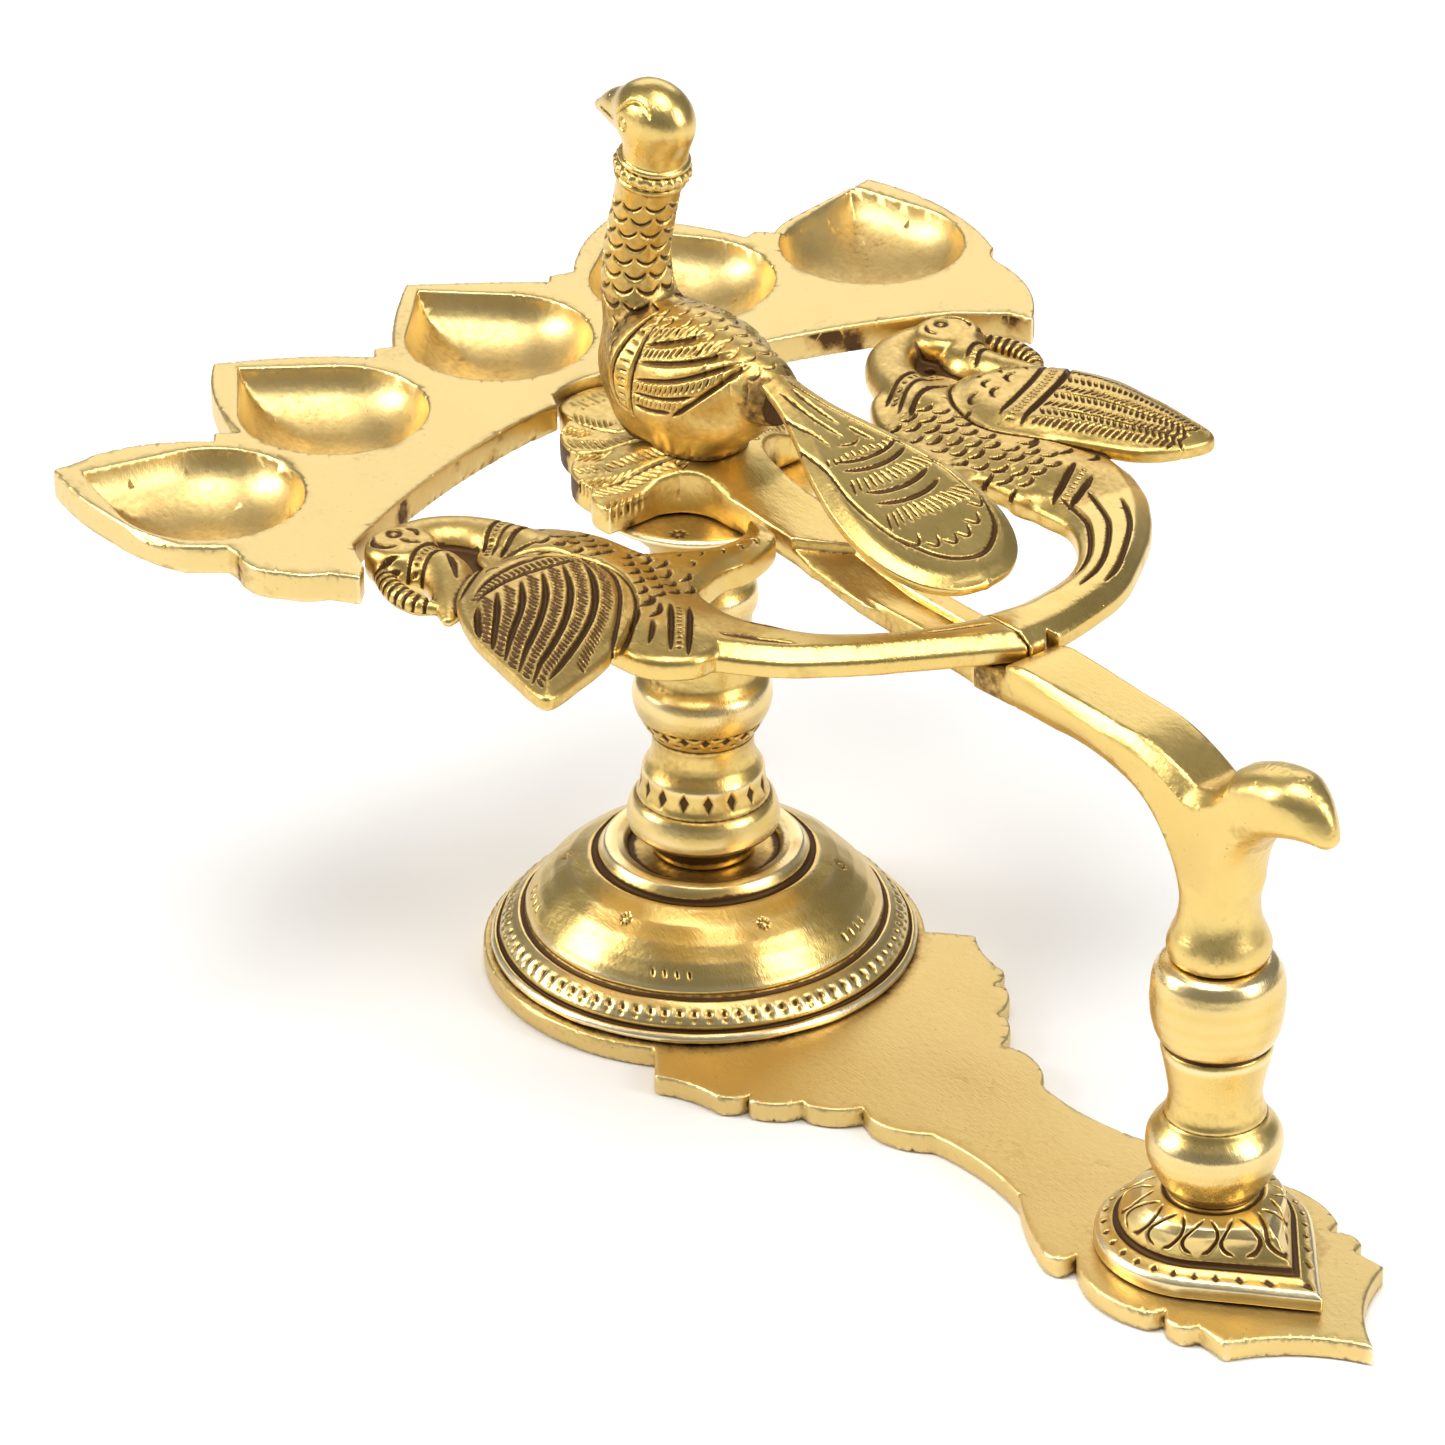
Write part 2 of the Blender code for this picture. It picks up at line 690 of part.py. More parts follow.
def side_plate(name, outline, half_width, collection=None):
    """A flat outline in XZ, filled from -half_width to half_width in Y."""
    curve = bpy.data.curves.new(name, "CURVE")
    curve.dimensions = "2D"
    curve.fill_mode = "BOTH"
    curve.extrude = half_width
    spline = curve.splines.new("POLY")
    spline.points.add(len(outline) - 1)
    for point, place in zip(spline.points, outline):
        point.co = (place[0], place[1], 0.0, 1.0)
    spline.use_cyclic_u = True
    ob = link(bpy.data.objects.new(name, curve), collection)
    ob.rotation_euler.x = math.radians(90)
    ob = settled(ob)
    ob.data.transform(ob.matrix_world)
    ob.matrix_world = Matrix.Identity(4)
    return ob


def front_plate(name, outline, near_x, far_x):
    """A flat outline in YZ, filled from near_x to far_x, to cut with."""
    ob = plate(name, [Vector(p) for p in outline], near_x, far_x, tools)
    ob.data.transform(Matrix(((0, 0, 1, 0), (1, 0, 0, 0), (0, 1, 0, 0), (0, 0, 0, 1))) @ ob.matrix_world)
    ob.matrix_world = Matrix.Identity(4)
    return ob


def lifted(points, z):
    return [(x * MM, y * MM, z) for x, y in points]


def make_side_bird(name, side):
    top = DECK_TOP_Z
    low = SPINE_TOP_Z + GAP
    mid = (top + low) / 2
    body = plate(name, path_of(BODY_EDGE + BODY_EDGE[:1])[:-1], low, top + MM)
    edge = TAIL_EDGES[0 if side > 0 else 1]
    meet = GAP / 2 / MM
    tail = edge[:3] + ((edge[3][0], meet, 0.0), (edge[4][0], meet, edge[4][2])) + edge[5:]
    pieces = [plate("bird_tail", path_of(tail + tail[:1], -1)[:-1], low, HOOP_TOP_Z, tools)]
    wing = WING_EDGES[0 if side > 0 else 1]
    pieces.append(plate("bird_wing", path_of(wing + wing[:1])[:-1], WING_LOW_Z, WING_TOP_Z, tools))
    pieces.append(tube("bird_neck", lifted(NECK_PATH, mid), NECK_RADII, tools))
    pieces.append(tube("bird_beak", lifted(BEAK_PATH, mid), BEAK_RADII, tools))
    pieces.append(tube("bird_crest", lifted(CREST_PATH, mid), CREST_RADII, tools))
    pieces.append(tube("bird_arm", lifted(ARM_PATH, mid), ARM_RADII, tools))
    head = turned("bird_head", ((BIRD_HEAD_R, top + MM), (BIRD_HEAD_R, low)), 20, tools)
    head.data.transform(Matrix.Translation((BIRD_HEAD_AT[0] * MM, BIRD_HEAD_AT[1] * MM, 0.0)))
    pieces.append(head)
    add(body, *pieces)
    if side < 0:
        body = settled(body)
        body.data.transform(Matrix.Diagonal((1.0, -1.0, 1.0, 1.0)))
        body.data.flip_normals()
    return finish(body, metal(name + "_brass", BRASS, 0.28))


# ---------------------------------------------------------------- handle


def make_grip_column():
    ob = turned("grip_column", in_mm(GRIP_PROFILE))
    ob.location.x = GRIP_X
    low, high = GRIP_PROFILE[-1][1] * MM, GRIP_PROFILE[0][1] * MM
    cut(ob, bore("grip_bore", GRIP_X, GRIP_SCREW_R + BORE_CLEAR, low - MM, high + MM))
    return finish(ob, metal("grip_brass", BRASS, 0.22))


def make_handle_arm():
    lap_x, lap_top = SPINE_END_X + GAP, SPINE_TOP_Z
    outline = [Vector((lap_x, ARM_UNDER[1] * MM)), Vector((lap_x, lap_top))]
    outline += [Vector((ARM_START[0] * MM, lap_top))]
    outline += path_of((ARM_START,) + behind_grip(ARM_REAR) + (ARM_UNDER,))
    ob = side_plate("handle_arm", outline, ARM_HALF_W)
    edge = ob.modifiers.new("Edges", "BEVEL")
    edge.width = 2.0 * MM
    edge.segments = 2
    edge.limit_method = "ANGLE"
    edge.angle_limit = math.radians(60)
    ob = settled(ob)
    far_x, high = 170 * MM, 110 * MM
    wide = ARM_HALF_W + MM
    half = [(lap_x - MM, wide), (THUMB_FROM_X, wide), (GRIP_X + ARM_REAR[4][0] * MM, THUMB_HALF_W), (far_x, THUMB_HALF_W)]
    boolean(ob, plate("arm_plan", both_sides([Vector(p) for p in half]), 0.0, high, tools), "INTERSECT")
    for side in (1, -1):
        cheek = [(NECK_HALF_W, 0.0), (2 * ARM_HALF_W, 0.0), (2 * ARM_HALF_W, NECK_FROM_Z)]
        cheek += [(wide, NECK_FROM_Z), (NECK_HALF_W, NECK_FROM_Z - 10 * MM)]
        cut(ob, front_plate("arm_cheek", [(side * y, z) for y, z in cheek], GRIP_X - 30 * MM, far_x))
    bulb = turned("neck_bulb", in_mm(NECK_BULB), TURN_STEPS, tools)
    bulb.location.x = GRIP_X
    add(ob, bulb)
    start = NECK_BULB[-1][1] * MM
    cut(ob, bore("arm_bore", GRIP_X, GRIP_SCREW_R + BORE_CLEAR, start - MM, GRIP_SCREW_END_Z + BORE_CLEAR))
    return finish(ob, metal("handle_brass", BRASS, 0.28))


def make_lotus_boss():
    rings = []
    for radius, point, z in BOSS_RINGS:
        rings.append(leaf_ring((BOSS_LEAF_X, 0.0), radius * MM, point * MM, z * MM, 0.0))
    rings.append(leaf_ring((GRIP_X, 0.0), BOSS_NECK_R, BOSS_NECK_R * 1.001, BOSS_TOP_Z, 0.0))
    ob = loft("lotus_boss", rings)
    cut(ob, bore("boss_bore", GRIP_X, GRIP_SCREW_R + BORE_CLEAR, 0.0, BOSS_TOP_Z + MM))
    return finish(ob, metal("boss_brass", BRASS, 0.26))


# ---------------------------------------------------------------- peacock


def in_side_plane(points):
    return [(x * MM, 0.0, z * MM) for x, z in points]


def make_peacock_body():
    ob = ball("peacock_body", (-2.4 * MM, 0.0, 113.0 * MM), (21.0 * MM, 12.0 * MM, 13.4 * MM), 8.0, segments=28)
    neck = tube("peacock_neck", in_side_plane(BIRD_NECK), BIRD_NECK_RADII, tools, 3)
    head_centre = (BIRD_HEAD[0] * MM, 0.0, BIRD_HEAD[1] * MM)
    head = ball("peacock_head", head_centre, (7.4 * MM, 6.0 * MM, 7.2 * MM), 0.0, tools)
    beak = tube("peacock_beak", in_side_plane(BIRD_BEAK), BIRD_BEAK_RADII, tools)
    collar = ball("peacock_collar", (-12.6 * MM, 0.0, 149.4 * MM), (6.6 * MM, 6.6 * MM, 1.8 * MM), 0.0, tools)
    foot = turned("peacock_foot", ((BIRD_SEAT_R, BIRD_SEAT_TOP_Z), (BIRD_SEAT_R, BIRD_SEAT_Z - MM)), BOLT_STEPS, tools)
    add(ob, neck, head, beak, collar, foot)
    level = 40 * MM
    seat = turned("peacock_seat", ((level, BIRD_SEAT_Z), (level, BIRD_SEAT_Z - level)), BOLT_STEPS, tools)
    cut(ob, seat)
    cut(ob, bore("peacock_bore", 0.0, STUD_R + BORE_CLEAR, BIRD_SEAT_Z - MM, STUD_HIGH_Z + GAP))
    root_x, root_w = PADDLE_EDGE[0][0] * MM - GAP, PADDLE_EDGE[1][1] * MM + GAP
    corners = [Vector((root_x, root_w)), Vector((PADDLE_EDGE[2][0] * MM, root_w))]
    thick = PADDLE_THICK / 2 + GAP
    cut(ob, set_on_slope(plate("tail_slot", both_sides(corners), -thick, thick, tools)))
    return finish(ob, metal("peacock_brass", BRASS, 0.26))


def make_peacock_tail():
    half = path_of(PADDLE_EDGE)
    ob = plate("peacock_tail", both_sides(half), -PADDLE_THICK / 2, PADDLE_THICK / 2)
    edge = ob.modifiers.new("Edges", "BEVEL")
    edge.width = 0.8 * MM
    edge.segments = 1
    edge.limit_method = "ANGLE"
    edge.angle_limit = math.radians(60)
    return finish(set_on_slope(ob), metal("paddle_brass", BRASS, 0.30))


def set_on_slope(ob):
    """Places what was drawn flat at the tail's root, sloping down to the rear."""
    ob.location = (PADDLE_ROOT[0] * MM, 0.0, PADDLE_ROOT[1] * MM)
    ob.rotation_euler.y = math.radians(PADDLE_SLOPE_DEG)
    return ob


# ---------------------------------------------------------------- studs and screws


def make_centre_stud():
    ob = turned("centre_stud", ((STUD_R, STUD_HIGH_Z), (STUD_R, STUD_LOW_Z)), BOLT_STEPS)
    return finish(ob, metal("stud_steel", STEEL, 0.35))


def make_centre_nut():
    work = bmesh.new()
    flat_r = NUT_AF / 2 / math.cos(math.pi / 6)
    bmesh.ops.create_cone(work, cap_ends=True, segments=6, radius1=flat_r, radius2=flat_r, depth=NUT_THICK)
    mesh = bpy.data.meshes.new("centre_nut")
    work.to_mesh(mesh)
    work.free()
    ob = link(bpy.data.objects.new("centre_nut", mesh))
    ob.location.z = nut_low_z() + NUT_THICK / 2
    cut(ob, bore("nut_bore", 0.0, STUD_R + BORE_CLEAR, nut_low_z() - MM, nut_low_z() + NUT_THICK + MM))
    return finish(ob, metal("nut_steel", STEEL, 0.35))


def make_countersunk(name, x, radius, end_z):
    head = radius * HEAD_RATIO
    low = HEAD_SUNK
    profile = ((radius, end_z), (radius, low + head - radius), (head, low))
    ob = turned(name, profile, BOLT_STEPS)
    ob.location.x = x
    slot = 0.6 * MM
    work = bmesh.new()
    size = Matrix.Diagonal((2.4 * head, 2 * slot, 2 * slot, 1.0))
    bmesh.ops.create_cube(work, size=1.0, matrix=Matrix.Translation((x, 0.0, low)) @ size)
    mesh = bpy.data.meshes.new("screw_slot")
    work.to_mesh(mesh)
    work.free()
    cut(ob, link(bpy.data.objects.new("screw_slot", mesh), tools))
    return finish(ob, metal(name + "_steel", STEEL, 0.35))


# ---------------------------------------------------------------- assembly

lamp = [
    make_base_plate(),
    make_round_foot(),
    make_pillar(),
    make_seat_flange(),
    make_lamp_tray(),
    make_leaf_spine(),
    make_side_bird("side_bird_left", 1),
    make_side_bird("side_bird_right", -1),
    make_grip_column(),
    make_handle_arm(),
    make_lotus_boss(),
    make_centre_stud(),
    make_centre_nut(),
    make_countersunk("pillar_screw", 0.0, SCREW_R, SCREW_END_Z),
    make_countersunk("grip_screw", GRIP_X, GRIP_SCREW_R, GRIP_SCREW_END_Z),
]
peacock = [make_peacock_body(), make_peacock_tail()]

# The origin is on the ground under the middle of the whole lamp's length.
pillar_x = -(GRIP_X + PLATE_TIP + TRAY_EDGES[0][0][0] * MM) / 2
pillar_axis = link(bpy.data.objects.new("pillar_axis", None))
pillar_axis.location.x = pillar_x
turn_axis = link(bpy.data.objects.new("peacock_turn_axis", None))
turn_axis.parent = pillar_axis
for piece in lamp + list(tools.objects):
    piece.parent = pillar_axis
for piece in peacock:
    piece.parent = turn_axis
bpy.context.view_layer.update()
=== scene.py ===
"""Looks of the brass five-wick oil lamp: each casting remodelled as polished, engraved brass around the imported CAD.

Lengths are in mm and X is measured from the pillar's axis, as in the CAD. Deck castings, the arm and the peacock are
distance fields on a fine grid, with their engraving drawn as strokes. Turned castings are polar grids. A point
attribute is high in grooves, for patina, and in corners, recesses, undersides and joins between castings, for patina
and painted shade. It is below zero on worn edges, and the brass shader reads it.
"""

import math

import bpy
import numpy as np
import openvdb as vdb
from mathutils import Matrix, Vector


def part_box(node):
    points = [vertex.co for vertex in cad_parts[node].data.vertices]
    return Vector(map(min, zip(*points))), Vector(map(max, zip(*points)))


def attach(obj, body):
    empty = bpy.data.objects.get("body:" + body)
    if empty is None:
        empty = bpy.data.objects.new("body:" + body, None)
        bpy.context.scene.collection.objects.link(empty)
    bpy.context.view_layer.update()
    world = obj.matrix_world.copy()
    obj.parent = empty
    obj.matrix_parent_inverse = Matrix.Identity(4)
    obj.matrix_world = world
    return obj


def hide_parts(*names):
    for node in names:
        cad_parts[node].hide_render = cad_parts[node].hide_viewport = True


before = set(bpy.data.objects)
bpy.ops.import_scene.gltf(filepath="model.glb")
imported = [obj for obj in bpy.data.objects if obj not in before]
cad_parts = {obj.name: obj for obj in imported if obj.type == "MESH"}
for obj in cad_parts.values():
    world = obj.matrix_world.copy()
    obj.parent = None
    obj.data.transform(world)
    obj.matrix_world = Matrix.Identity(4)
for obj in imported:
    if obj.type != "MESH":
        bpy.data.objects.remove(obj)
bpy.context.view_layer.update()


pillar_low, pillar_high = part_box("pillar")
PILLAR_X = (pillar_low.x + pillar_high.x) / 2
MM = 0.001

# Heights of the castings, in mm
PLATE_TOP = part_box("base_plate")[1].z / MM
TRAY_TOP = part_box("lamp_tray")[1].z / MM
TRAY_THICK = 5.4
DECK_TOP = 100.0
LEAF_LOW = 93.8
BIRD_LOW = 94.9
HOOP_TOP = 99.4


# ---------------------------------------------------------------- lines and outlines


def smooth_line(points, per=8, closed=False):
    """A smooth curve through points of any dimension."""
    p = np.array(points, float)
    if closed:
        p = np.vstack([p[-1], p, p[:2]])
    else:
        p = np.vstack([2 * p[0] - p[1], p, 2 * p[-1] - p[-2]])
    t = np.linspace(0, 1, per, endpoint=False)[:, None]
    spans = []
    for a, b, c, d in zip(p, p[1:], p[2:], p[3:]):
        spans.append(b + 0.5 * t * (c - a + t * (2 * a - 5 * b + 4 * c - d + t * (3 * (b - c) + d - a))))
    line = np.concatenate(spans)
    return line if closed else np.vstack([line, p[-2]])


def arcs(corners, side=1, per=10):
    """Corners (x, y, bulge) joined by arcs that stand off their chords to the left by bulge times side."""
    points = []
    for (x0, y0, bulge), (x1, y1, _) in zip(corners, corners[1:]):
        chord = np.array((x1 - x0, y1 - y0))
        left = np.array((-chord[1], chord[0])) / np.linalg.norm(chord)
        count = per if abs(bulge) > 0.05 else 1
        for t in np.arange(count) / count:
            points.append(np.array((x0, y0)) + chord * t + left * side * bulge * (1 - (2 * t - 1) ** 2))
    points.append(np.array(corners[-1][:2], float))
    return np.array(points)


def both_sides(left, right):
    """A closed outline from two halves that both start and end on the X axis; the right half is given with y turned."""
    return np.vstack([left, (right * (1, -1))[::-1][1:-1]])


def outline_distance(x, y, outline):
    """Distance in a plane to a closed outline, negative inside."""
    best = np.full(np.broadcast(x, y).shape, 1e9, np.float32)
    inside = np.zeros(best.shape, bool)
    for (x0, y0), (x1, y1) in zip(outline.astype(np.float32), np.roll(outline, -1, 0).astype(np.float32)):
        dx, dy = x1 - x0, y1 - y0
        t = np.clip(((x - x0) * dx + (y - y0) * dy) / max(dx * dx + dy * dy, 1e-9), 0, 1)
        best = np.minimum(best, (x - x0 - t * dx) ** 2 + (y - y0 - t * dy) ** 2)
        if dy:
            inside ^= ((y0 > y) != (y1 > y)) & (x < (y - y0) * dx / dy + x0)
    distance = np.sqrt(best)
    return np.where(inside, -distance, distance)


def ease(low, high, value):
    t = np.clip((value - low) / (high - low), 0, 1)
    return t * t * (3 - 2 * t)


def smooth_min(a, b, reach):
    near = np.clip(reach - np.abs(a - b), 0, None)
    return np.minimum(a, b) - near * near / (4 * reach)


def smooth_max(a, b, reach):
    return -smooth_min(-a, -b, reach)


class Engraving:
    """Depth of cut over a plane, in mm, drawn stroke by stroke; negative where metal is raised."""

    def __init__(self, a, b):
        self.a, self.b = a, b
        self.depth = np.zeros((len(a), len(b)), np.float32)

    def window(self, points, reach, scale=1.0):
        low, high = points.min(0) - reach, points.max(0) + reach
        i = slice(*np.searchsorted(self.a, (low[0] / scale, high[0] / scale)))
        j = slice(*np.searchsorted(self.b, (low[1], high[1])))
        return i, j, self.a[i][:, None] * scale, self.b[j][None, :]

    def stroke(self, points, width, depth, fade=0.35, smooth=5, scale=1.0):
        """A groove along a curve through points; it narrows over the share fade of its length at each end."""
        line = np.array(points, float) * (scale, 1.0)
        if len(line) > 2 and smooth > 1:
            line = smooth_line(line, smooth)
        i, j, a, b = self.window(line, width, scale)
        best = np.full((a.shape[0], b.shape[1]), 1e9, np.float32)
        along = np.zeros_like(best)
        count = len(line) - 1
        for k, ((a0, b0), (a1, b1)) in enumerate(zip(line, line[1:])):
            da, db = a1 - a0, b1 - b0
            t = np.clip(((a - a0) * da + (b - b0) * db) / max(da * da + db * db, 1e-9), 0, 1)
            gap = (a - a0 - t * da) ** 2 + (b - b0 - t * db) ** 2
            nearer = gap < best
            best = np.where(nearer, gap, best)
            along = np.where(nearer, (k + t) / count, along)
        taper = 1.0
        if fade > 0:
            taper = np.clip(np.minimum(along, 1 - along) / fade, 0.02, 1) ** 0.5
        cut = depth * taper * np.clip(1 - best / (width / 2 * taper) ** 2, 0, 1)
        target = self.depth[i, j]
        self.depth[i, j] = np.maximum(target, cut) if depth > 0 else np.minimum(target, cut)

    def dome(self, centre, half_a, half_b, height, turn_deg=0.0, scale=1.0):
        """A raised bead, or a dimple when height is negative."""
        centre = np.array(centre, float) * (scale, 1.0)
        reach = max(half_a, half_b)
        i, j, a, b = self.window(centre[None, :], reach, scale)
        turn = math.radians(turn_deg)
        u = (a - centre[0]) * math.cos(turn) + (b - centre[1]) * math.sin(turn)
        v = (b - centre[1]) * math.cos(turn) - (a - centre[0]) * math.sin(turn)
        self.depth[i, j] -= height * np.clip(1 - (u / half_a) ** 2 - (v / half_b) ** 2, 0, 1)

    def crescent(self, centre, size, turn_deg, width, depth, spread=1.0):
        """A short curved cut, bowed towards turn_deg."""
        turn = math.radians(turn_deg)
        way = np.array((math.cos(turn), math.sin(turn)))
        across = np.array((-way[1], way[0]))
        centre = np.array(centre, float)
        points = [centre + across * size * spread * s + way * size * 0.62 * (1 - s * s) for s in (-1, -0.5, 0, 0.5, 1)]
        self.stroke(points, width, depth, 0.4, 3)

    def ticks(self, line, length, spacing, width, depth, lean_deg=90.0, offset=0.0, shake=None):
        """Short cuts across a line, at lean_deg to it."""
        points = smooth_line(line, 12) if len(line) > 2 else np.array(line, float)
        steps = np.linalg.norm(np.diff(points, axis=0), axis=1)
        total = np.concatenate([[0], np.cumsum(steps)])
        for place in np.arange(spacing / 2, total[-1], spacing):
            middle = np.array([np.interp(place, total, points[:, k]) for k in (0, 1)])
            ahead = np.array([np.interp(place + 0.3, total, points[:, k]) for k in (0, 1)])
            behind = np.array([np.interp(place - 0.3, total, points[:, k]) for k in (0, 1)])
            way = (ahead - behind) / max(np.linalg.norm(ahead - behind), 1e-6)
            turn = math.radians(lean_deg)
            cross = np.array((way[0] * math.cos(turn) - way[1] * math.sin(turn), 0.0))
            cross[1] = way[0] * math.sin(turn) + way[1] * math.cos(turn)
            size = length * (1.0 if shake is None else 1 + shake.uniform(-0.22, 0.12))
            middle = middle + np.array((-way[1], way[0])) * offset
            self.stroke([middle - cross * size / 2, middle + cross * size / 2], width, depth, 0.3, 1)


# ---------------------------------------------------------------- castings as distance fields


class Casting:
    """A box of points in mm that holds one casting's distance field, negative inside the metal."""

    def __init__(self, low, high, step):
        self.low, self.step = np.array(low, float), step
        axes = [np.arange(a, b + step, step, dtype=np.float32) for a, b in zip(low, high)]
        self.axes = axes
        self.x, self.y, self.z = axes[0][:, None, None], axes[1][None, :, None], axes[2][None, None, :]
        self.flat_x, self.flat_y = axes[0][:, None], axes[1][None, :]
        self.field = np.full([len(a) for a in axes], 40.0, np.float32)

    def outline(self, points):
        return outline_distance(self.flat_x, self.flat_y, np.asarray(points))

    def slab(self, edge, low, high, round_mm):
        """The field of a flat casting: edge is the distance to its outline; low and high are numbers or maps."""
        low, high = (v[:, :, None] if isinstance(v, np.ndarray) else v for v in (low, high))
        across = edge[:, :, None] + round_mm
        up = np.abs(self.z - (low + high) / 2) - (high - low) / 2 + round_mm
        outer = np.sqrt(np.clip(across, 0, None) ** 2 + np.clip(up, 0, None) ** 2)
        return outer + np.minimum(np.maximum(across, up), 0) - round_mm

    def bar(self, points, radii, tall=1.0, per=5):
        """The field of a round bar through points (x, y, z); tall stretches its section along Z."""
        line = smooth_line(np.column_stack([points, radii]), per)
        field = np.full(self.field.shape, 40.0, np.float32)
        for a, b in zip(line, line[1:]):
            reach = max(a[3], b[3]) * max(tall, 1) + 4
            low = np.minimum(a, b)[:3] - reach
            high = np.maximum(a, b)[:3] + reach
            i, j, k = (slice(*np.searchsorted(axis, (low[n], high[n]))) for n, axis in enumerate(self.axes))
            x, y, z = self.x[i], self.y[:, j], self.z[:, :, k]
            d = b[:3] - a[:3]
            t = ((x - a[0]) * d[0] + (y - a[1]) * d[1] + (z - a[2]) * d[2]) / max(float(d @ d), 1e-9)
            t = np.clip(t, 0, 1)
            gap = (x - a[0] - t * d[0]) ** 2 + (y - a[1] - t * d[1]) ** 2
            gap = np.sqrt(gap + ((z - a[2] - t * d[2]) / tall) ** 2) - (a[3] + t * (b[3] - a[3]))
            field[i, j, k] = np.minimum(field[i, j, k], gap)
        return field

    def ball(self, centre, radii, tilt_deg=0.0):
        """The field of an ellipsoid; tilt_deg raises its +X end."""
        turn = math.radians(tilt_deg)
        dx, dz = self.x - centre[0], self.z - centre[2]
        u, w = dx * math.cos(turn) + dz * math.sin(turn), dz * math.cos(turn) - dx * math.sin(turn)
        v = self.y - centre[1]
        size = np.sqrt((u / radii[0]) ** 2 + (v / radii[1]) ** 2 + (w / radii[2]) ** 2)
        slope = np.sqrt((u / radii[0] ** 2) ** 2 + (v / radii[1] ** 2) ** 2 + (w / radii[2] ** 2) ** 2)
        return size * (size - 1) / np.maximum(slope, 1e-3)

    def add(self, field, reach=0.0):
        self.field = smooth_min(self.field, field, reach) if reach else np.minimum(self.field, field)

    def cut(self, field, reach=0.0):
        self.field = smooth_max(self.field, -field, reach) if reach else np.maximum(self.field, -field)

    def engrave_top(self, engraving, above):
        """Cuts the engraving, drawn on XY, into what faces up, above a height."""
        self.field += engraving.depth[:, :, None] * ease(above - 0.6, above + 0.6, self.z)

    def roughen(self, seed, size, height):
        """Uneven cast or filed surface: smooth random waves of about size mm."""
        self.field += height * waves(self.x, self.y, self.z, seed, size)


def waves(x, y, z, seed, size, count=7):
    """A cheap smooth noise between about -1 and 1."""
    random = np.random.default_rng(seed)
    total = 0.0
    for _ in range(count):
        way = random.normal(size=3)
        way *= 2 * math.pi / (size * random.uniform(0.7, 1.6) * np.linalg.norm(way))
        total = total + np.sin(way[0] * x + way[1] * y + way[2] * z + random.uniform(0, 6.28))
    return (total / math.sqrt(count * 2)).astype(np.float32)


def sampled(grid, low, step, points):
    """Values of a grid at points, by linear interpolation."""
    at = (points - low) / step
    base = np.clip(np.floor(at).astype(int), 0, np.array(grid.shape) - 2)
    part = np.clip(at - base, 0, 1)
    total = np.zeros(len(points))
    for corner in np.ndindex(2, 2, 2):
        weight = np.prod(np.where(corner, part, 1 - part), axis=1)
        i, j, k = (base + corner).T
        total += weight * grid[i, j, k]
    return total


def blurred(grid, radius):
    for axis in range(3):
        pad = [(0, 0)] * 3
        pad[axis] = (radius + 1, radius)
        total = np.cumsum(np.pad(grid, pad, mode="edge"), axis=axis, dtype=np.float64)
        count = grid.shape[axis]
        high = np.take(total, np.arange(2 * radius + 1, 2 * radius + 1 + count), axis)
        grid = ((high - np.take(total, np.arange(count), axis)) / (2 * radius + 1)).astype(np.float32)
    return grid


def hidden_depth(casting, points, radius_mm):
    """How shut in each point is: 0 on a flat or a rounded edge, 1 deep in a corner; below 0 on a sharp edge."""
    coarse = casting.field[::2, ::2, ::2]
    filled = np.clip(0.5 - coarse / (2 * casting.step), 0, 1)
    radius = max(1, round(radius_mm / (2 * casting.step)))
    share = sampled(blurred(blurred(filled, radius), radius), casting.low, 2 * casting.step, points)
    return (share - 0.5) / 0.5


def new_object(name, points, loops, starts, patina_and_shade):
    """A smooth-shaded mesh in metres in its place, with its patina attribute."""
    mesh = bpy.data.meshes.new(name)
    mesh.vertices.add(len(points))
    place = np.asarray(points, float) * MM + (PILLAR_X, 0, 0)
    mesh.vertices.foreach_set("co", place.astype(np.float32).ravel())
    mesh.loops.add(len(loops))
    mesh.loops.foreach_set("vertex_index", loops.astype(np.int32))
    mesh.polygons.add(len(starts))
    mesh.polygons.foreach_set("loop_start", starts.astype(np.int32))
    mesh.update(calc_edges=True)
    mesh.validate()
    mesh.shade_smooth()
    layer = mesh.attributes.new("patina_and_shade", "FLOAT", "POINT")
    layer.data.foreach_set("value", np.asarray(patina_and_shade, np.float32))
    ob = bpy.data.objects.new(name, mesh)
    bpy.context.scene.collection.objects.link(ob)
    return ob


